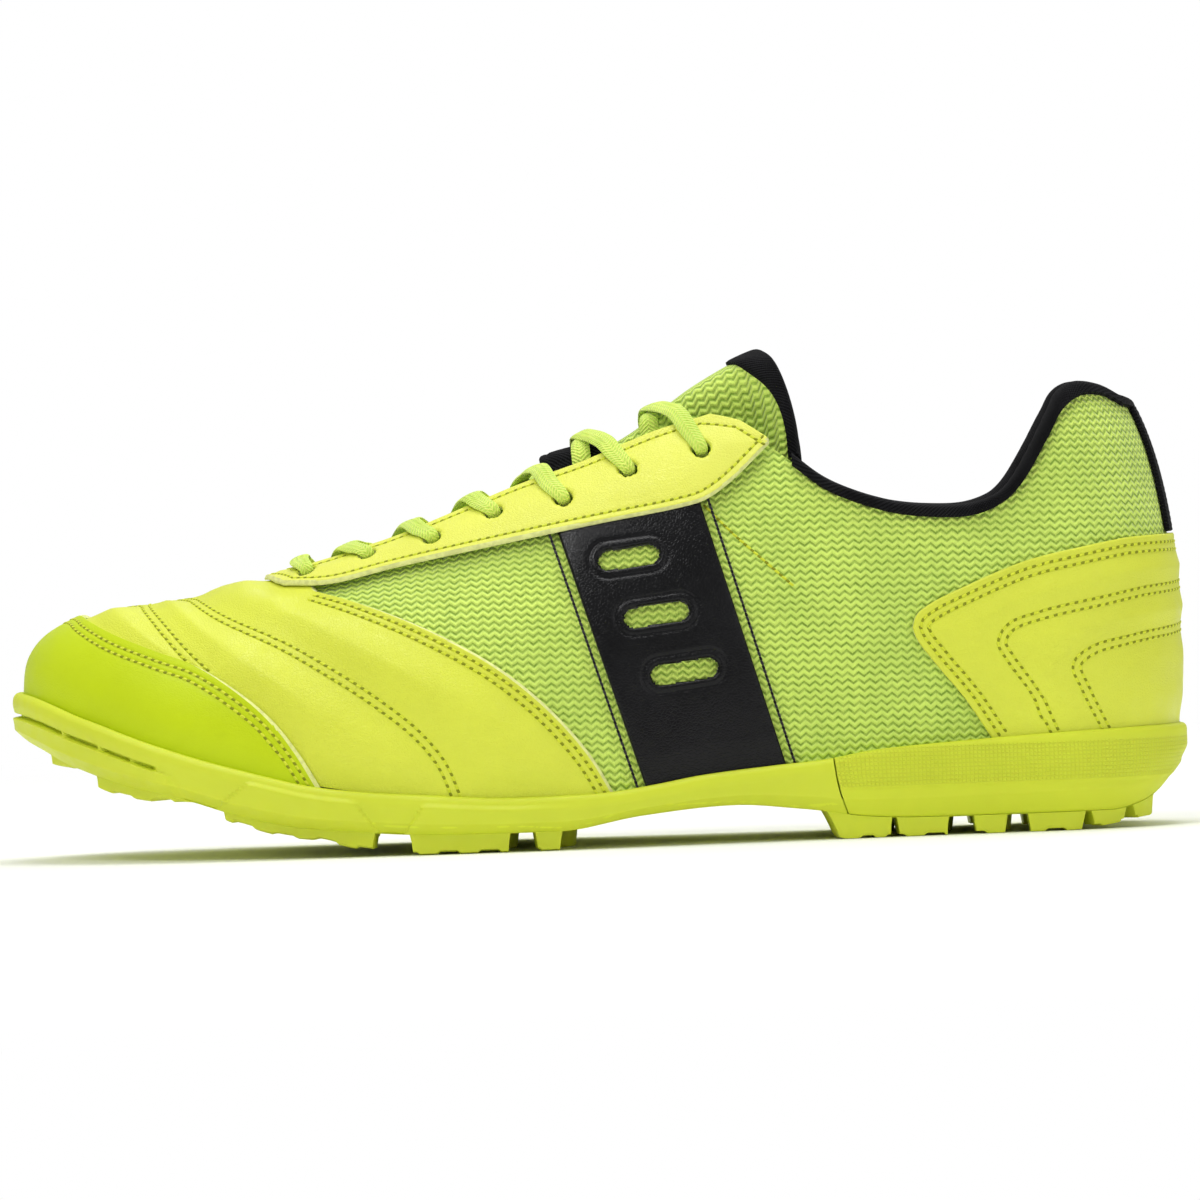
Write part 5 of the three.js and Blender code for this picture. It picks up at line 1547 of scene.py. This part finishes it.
def lace_half(side):
    """Stops of one half of the lace, from the front bar up to where it ends inside the shoe."""
    stops, hand = [], side

    def stop(x, y, depth, slim=1.0):
        stops.append(lace_stop(x, y, depth, slim))

    for row, (x, y) in enumerate(EYELETS):
        stop(x, hand * y, OVER - 0.5, 0.72)
        stop(x, hand * y, 0.2, 0.6)
        stop(x + 0.3, hand * (y - 0.5), UNDER + 0.4, 0.7)
        if row == len(EYELETS) - 1:
            continue
        next_x, next_y = EYELETS[row + 1]
        edge = float(throat(x + 4))
        rise, crossing = x + 4.3, lerp(x, next_x, CROSSING)
        top = 0 if (row % 2 == 0) == (side < 0) else LACE_THICK
        stop(x + 2.4, hand * (y - 3.6), UNDER)
        stop(x + 3.6, hand * (edge - 1), UNDER + 1)
        for spot, out in ((rise, edge - 4), ((rise + crossing) / 2, 4.5), (crossing, 0)):
            raised = top * (1 - out / edge)
            lift = float(tongue_top(spot, out)) + ON_TONGUE + keeper_lift(spot) + raised
            stop(spot, hand * out, lift)
        stop(next_x - 5, -hand * (float(throat(next_x)) - 2), OVER)
        stop(next_x - 2.6, -hand * (next_y - 3.4), OVER, 0.95)
        hand = -hand
    top_x, top_y = EYELETS[-1]
    stop(top_x + 0.7, hand * (top_y + 3), UNDER - 0.3, 0.7)
    low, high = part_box("aglet_lateral" if hand < 0 else "aglet_medial")
    near_y = high.y if hand < 0 else low.y
    tip = np.array([low.x / MM + AGLET_RADIUS, near_y / MM + hand * AGLET_RADIUS, high.z / MM]) - SHIFT
    return stops + [(*(tip + (0, 0, 2.5)), 0.5), (*(tip - (0, 0, 1)), 0.42)]


def make_lace():
    bar = [lace_stop(EYELETS[0][0] - 1.4, y, OVER + 0.3) for y in (-8, 0, 8)]
    stops = np.array(lace_half(-1)[::-1] + bar + lace_half(1))
    path = through(stops, per=14)
    reach = reaches(path[:, :3])
    count = int(reach[-1] / LACE_STEP)
    goal = np.linspace(0, reach[-1], count)
    path = np.stack([np.interp(goal, reach, path[:, k]) for k in range(4)], -1)
    along = unit(np.gradient(path[:, :3], axis=0))
    for _ in range(6):
        along[1:-1] = unit(along[:-2] + 2 * along[1:-1] + along[2:])
    x = path[:, 0]
    uphill = unit(np.stack([np.ones(count), np.zeros(count), (crown(x + 2) - crown(x - 2)) / 4], -1))
    across = unit(uphill - along * (along * uphill).sum(-1, keepdims=True))
    up = np.cross(across, along)
    turn = 2 * np.pi * np.arange(LACE_AROUND) / LACE_AROUND
    wide = np.sign(np.cos(turn)) * np.abs(np.cos(turn)) ** 0.85 * LACE_WIDTH / 2
    high = np.sin(turn) * LACE_THICK / 2
    slim = path[:, 3:4]
    yarn = 0.09 * np.cos(2 * np.pi * (goal[:, None] + np.abs(wide)[None] * YARN_SLANT) / YARN_PITCH)
    lift = high[None] * (1 + yarn) + 0.10 * np.cos(2 * np.pi * goal[:, None] / 7.3) * np.sin(turn)[None]
    points = path[:, None, :3] + across[:, None] * (wide[None] * slim)[..., None]
    points = points + up[:, None] * lift[..., None]
    uv = np.stack(np.broadcast_arrays(goal[:, None], wide[None]), -1).transpose(1, 0, 2).reshape(-1, 2)
    points = points.transpose(1, 0, 2).reshape(-1, 3)
    obj = make_mesh("lace_braided", points, tube(LACE_AROUND, count), [M_LACE], uv, crease=80)
    place(obj, "flex", "lace", slot="lace_green")


make_lace()


# ---- hidden layers ----
def softened(node, paint, slot, where="flex"):
    """A finer copy of a hidden soft node, which takes its place."""
    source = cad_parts[node]
    mesh = source.data.copy()
    mesh.materials.clear()
    mesh.materials.append(paint)
    bm = bmesh.new()
    bm.from_mesh(mesh)
    for _ in range(2):
        long = [e for e in bm.edges if e.calc_length() > 0.006]
        bmesh.ops.subdivide_edges(bm, edges=long, cuts=1, use_grid_fill=True)
    bmesh.ops.triangulate(bm, faces=[f for f in bm.faces if len(f.verts) > 4])
    bm.to_mesh(mesh)
    bm.free()
    for layer in list(mesh.uv_layers):
        mesh.uv_layers.remove(layer)
    mesh.shade_smooth()
    place(added(f"{node}_soft", mesh), where, node, slot=slot)


softened("vamp_lining", M_WHITE, "lining_white")
softened("lasting_board", M_BOARD, "board_white")


def make_sock_liner():
    """The foam insole with its cloth top, dished at the heel."""
    inside = curve([(-137, -3.7), (20, -3.7), (56, -5.6), (140, -5.6)])
    u = half_stations(1.6)
    x = outline(u, 0, 0)[:, 0]
    high = lerp(5.2, 9.5, smooth(x / 80))
    base = feather(x)
    rings = [outline(u, -12, base + 1.7), outline(u, inside(x) - 1.2, base + 1.7)]
    rings.append(outline(u, inside(x) - 1.4, base + high - 0.4))
    for share in np.linspace(0, 1, 14):
        rings.append(outline(u, inside(x) - 1.8 - 10 * share, base + lerp(high, 5.4, smooth(share))))
    points = np.stack(rings).reshape(-1, 3)
    obj = make_mesh("sock_liner_cloth", points, closed_rings(rings), [M_BLACK], points[:, :2])
    place(obj, "flex", "sock_liner", slot="fabric_black")


make_sock_liner()
for node, paint in (("toe_puff", M_BOARD), ("heel_counter", M_BOARD), ("collar_foam", M_PADDING),
                    ("aglet_lateral", M_PLASTIC), ("aglet_medial", M_PLASTIC)):
    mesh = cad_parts[node].data
    mesh.materials.clear()
    mesh.materials.append(paint)

# ---- stage, light and camera ----
FRAME_WIDTH, DISTANCE, ROLL, ELEVATION = 287.8, 2600.0, math.radians(2.0), math.radians(0.8)
SIGHT = (1.8, 0.0, 58.1)  # the point at the middle of the picture


def make_stage():
    """A pale round floor that fades outwards into a white wall, which only its inside shows."""
    flat, bend = 2.2, 0.8
    profile = [(0.01, 0), (0.3, 0), (0.6, 0), (flat, 0)]
    for a in np.linspace(0, math.pi / 2, 12)[1:]:
        profile.append((flat + bend * math.sin(a), bend - bend * math.cos(a)))
    profile.append((flat + bend, 3.0))
    turns = 2 * np.pi * np.arange(64) / 64
    points = [(r * math.cos(a), r * math.sin(a), z) for a in turns for r, z in profile]
    hub = [i * len(profile) for i in range(64)]
    mesh = bpy.data.meshes.new("floor")
    mesh.from_pydata(points, [], [hub] + grid_cells(64, len(profile), wrap=True).tolist())
    mesh.shade_smooth()
    paint = Paint("floor_pale", rough=0.9)
    paint.colour(paint.mix(paint.noise(400), (0.93, 0.93, 0.92), (0.96, 0.96, 0.95)))
    radius = paint.node("ShaderNodeVectorMath", operation="LENGTH")
    paint.put(radius.inputs[0], paint.space)
    white = paint.node("ShaderNodeEmission").outputs[0]
    clear = paint.node("ShaderNodeBsdfTransparent").outputs[0]
    looked_at = paint.node("ShaderNodeLightPath").outputs["Is Camera Ray"]
    behind = paint.node("ShaderNodeNewGeometry").outputs["Backfacing"]
    wall = paint.blend_shaders(looked_at, clear, white)
    far = paint.ramp(radius.outputs["Value"], 0.4, 0.85)
    fading = paint.blend_shaders(far, paint.shader.outputs[0], wall)
    paint.put(paint.tree.nodes["Material Output"].inputs[0], paint.blend_shaders(behind, fading, clear))
    mesh.materials.append(paint.material)
    added("floor", mesh)


def area_light(name, place_at, aim, size, power, tint=(1, 1, 1)):
    light = bpy.data.lights.new(name, "AREA")
    light.shape, light.size, light.energy, light.color = "DISK", size, power, tint
    obj = added(name, light)
    obj.location = place_at
    obj.rotation_euler = (Vector(aim) - Vector(place_at)).to_track_quat("-Z", "Y").to_euler()


def make_lights():
    area_light("key", (-0.7, -0.9, 1.5), (0, 0, 0.04), 0.8, 10)
    area_light("top", (0.1, 0.1, 1.6), (0, 0, 0.05), 1.0, 13)
    area_light("fill", (1.1, -1.0, 0.6), (0, 0, 0.05), 1.0, 2.5)
    area_light("rear", (0.5, 1.3, 1.2), (0, 0, 0.05), 1.2, 6)
    world = bpy.data.worlds.new("studio")
    world.use_nodes = True
    world.node_tree.nodes["Background"].inputs[0].default_value = (1, 1, 1, 1)
    world.node_tree.nodes["Background"].inputs[1].default_value = 0.42
    bpy.context.scene.world = world


def make_camera():
    data = bpy.data.cameras.new("camera")
    data.sensor_width = 36
    data.lens = data.sensor_width * DISTANCE / FRAME_WIDTH
    data.clip_end = 20
    camera = added("camera", data)
    aim = at(*SIGHT)
    away = Vector((0, -math.cos(ELEVATION), math.sin(ELEVATION)))
    right = Vector((1, 0, 0))
    up = right.cross(-away)
    right, up = (right * math.cos(ROLL) - up * math.sin(ROLL)), (up * math.cos(ROLL) + right * math.sin(ROLL))
    basis = Matrix((right, up, away)).transposed().to_4x4()
    basis.translation = aim + away * DISTANCE * MM
    camera.matrix_world = basis
    bpy.context.scene.camera = camera


make_stage()
make_lights()
make_camera()
bpy.context.scene.view_settings.view_transform = "Standard"
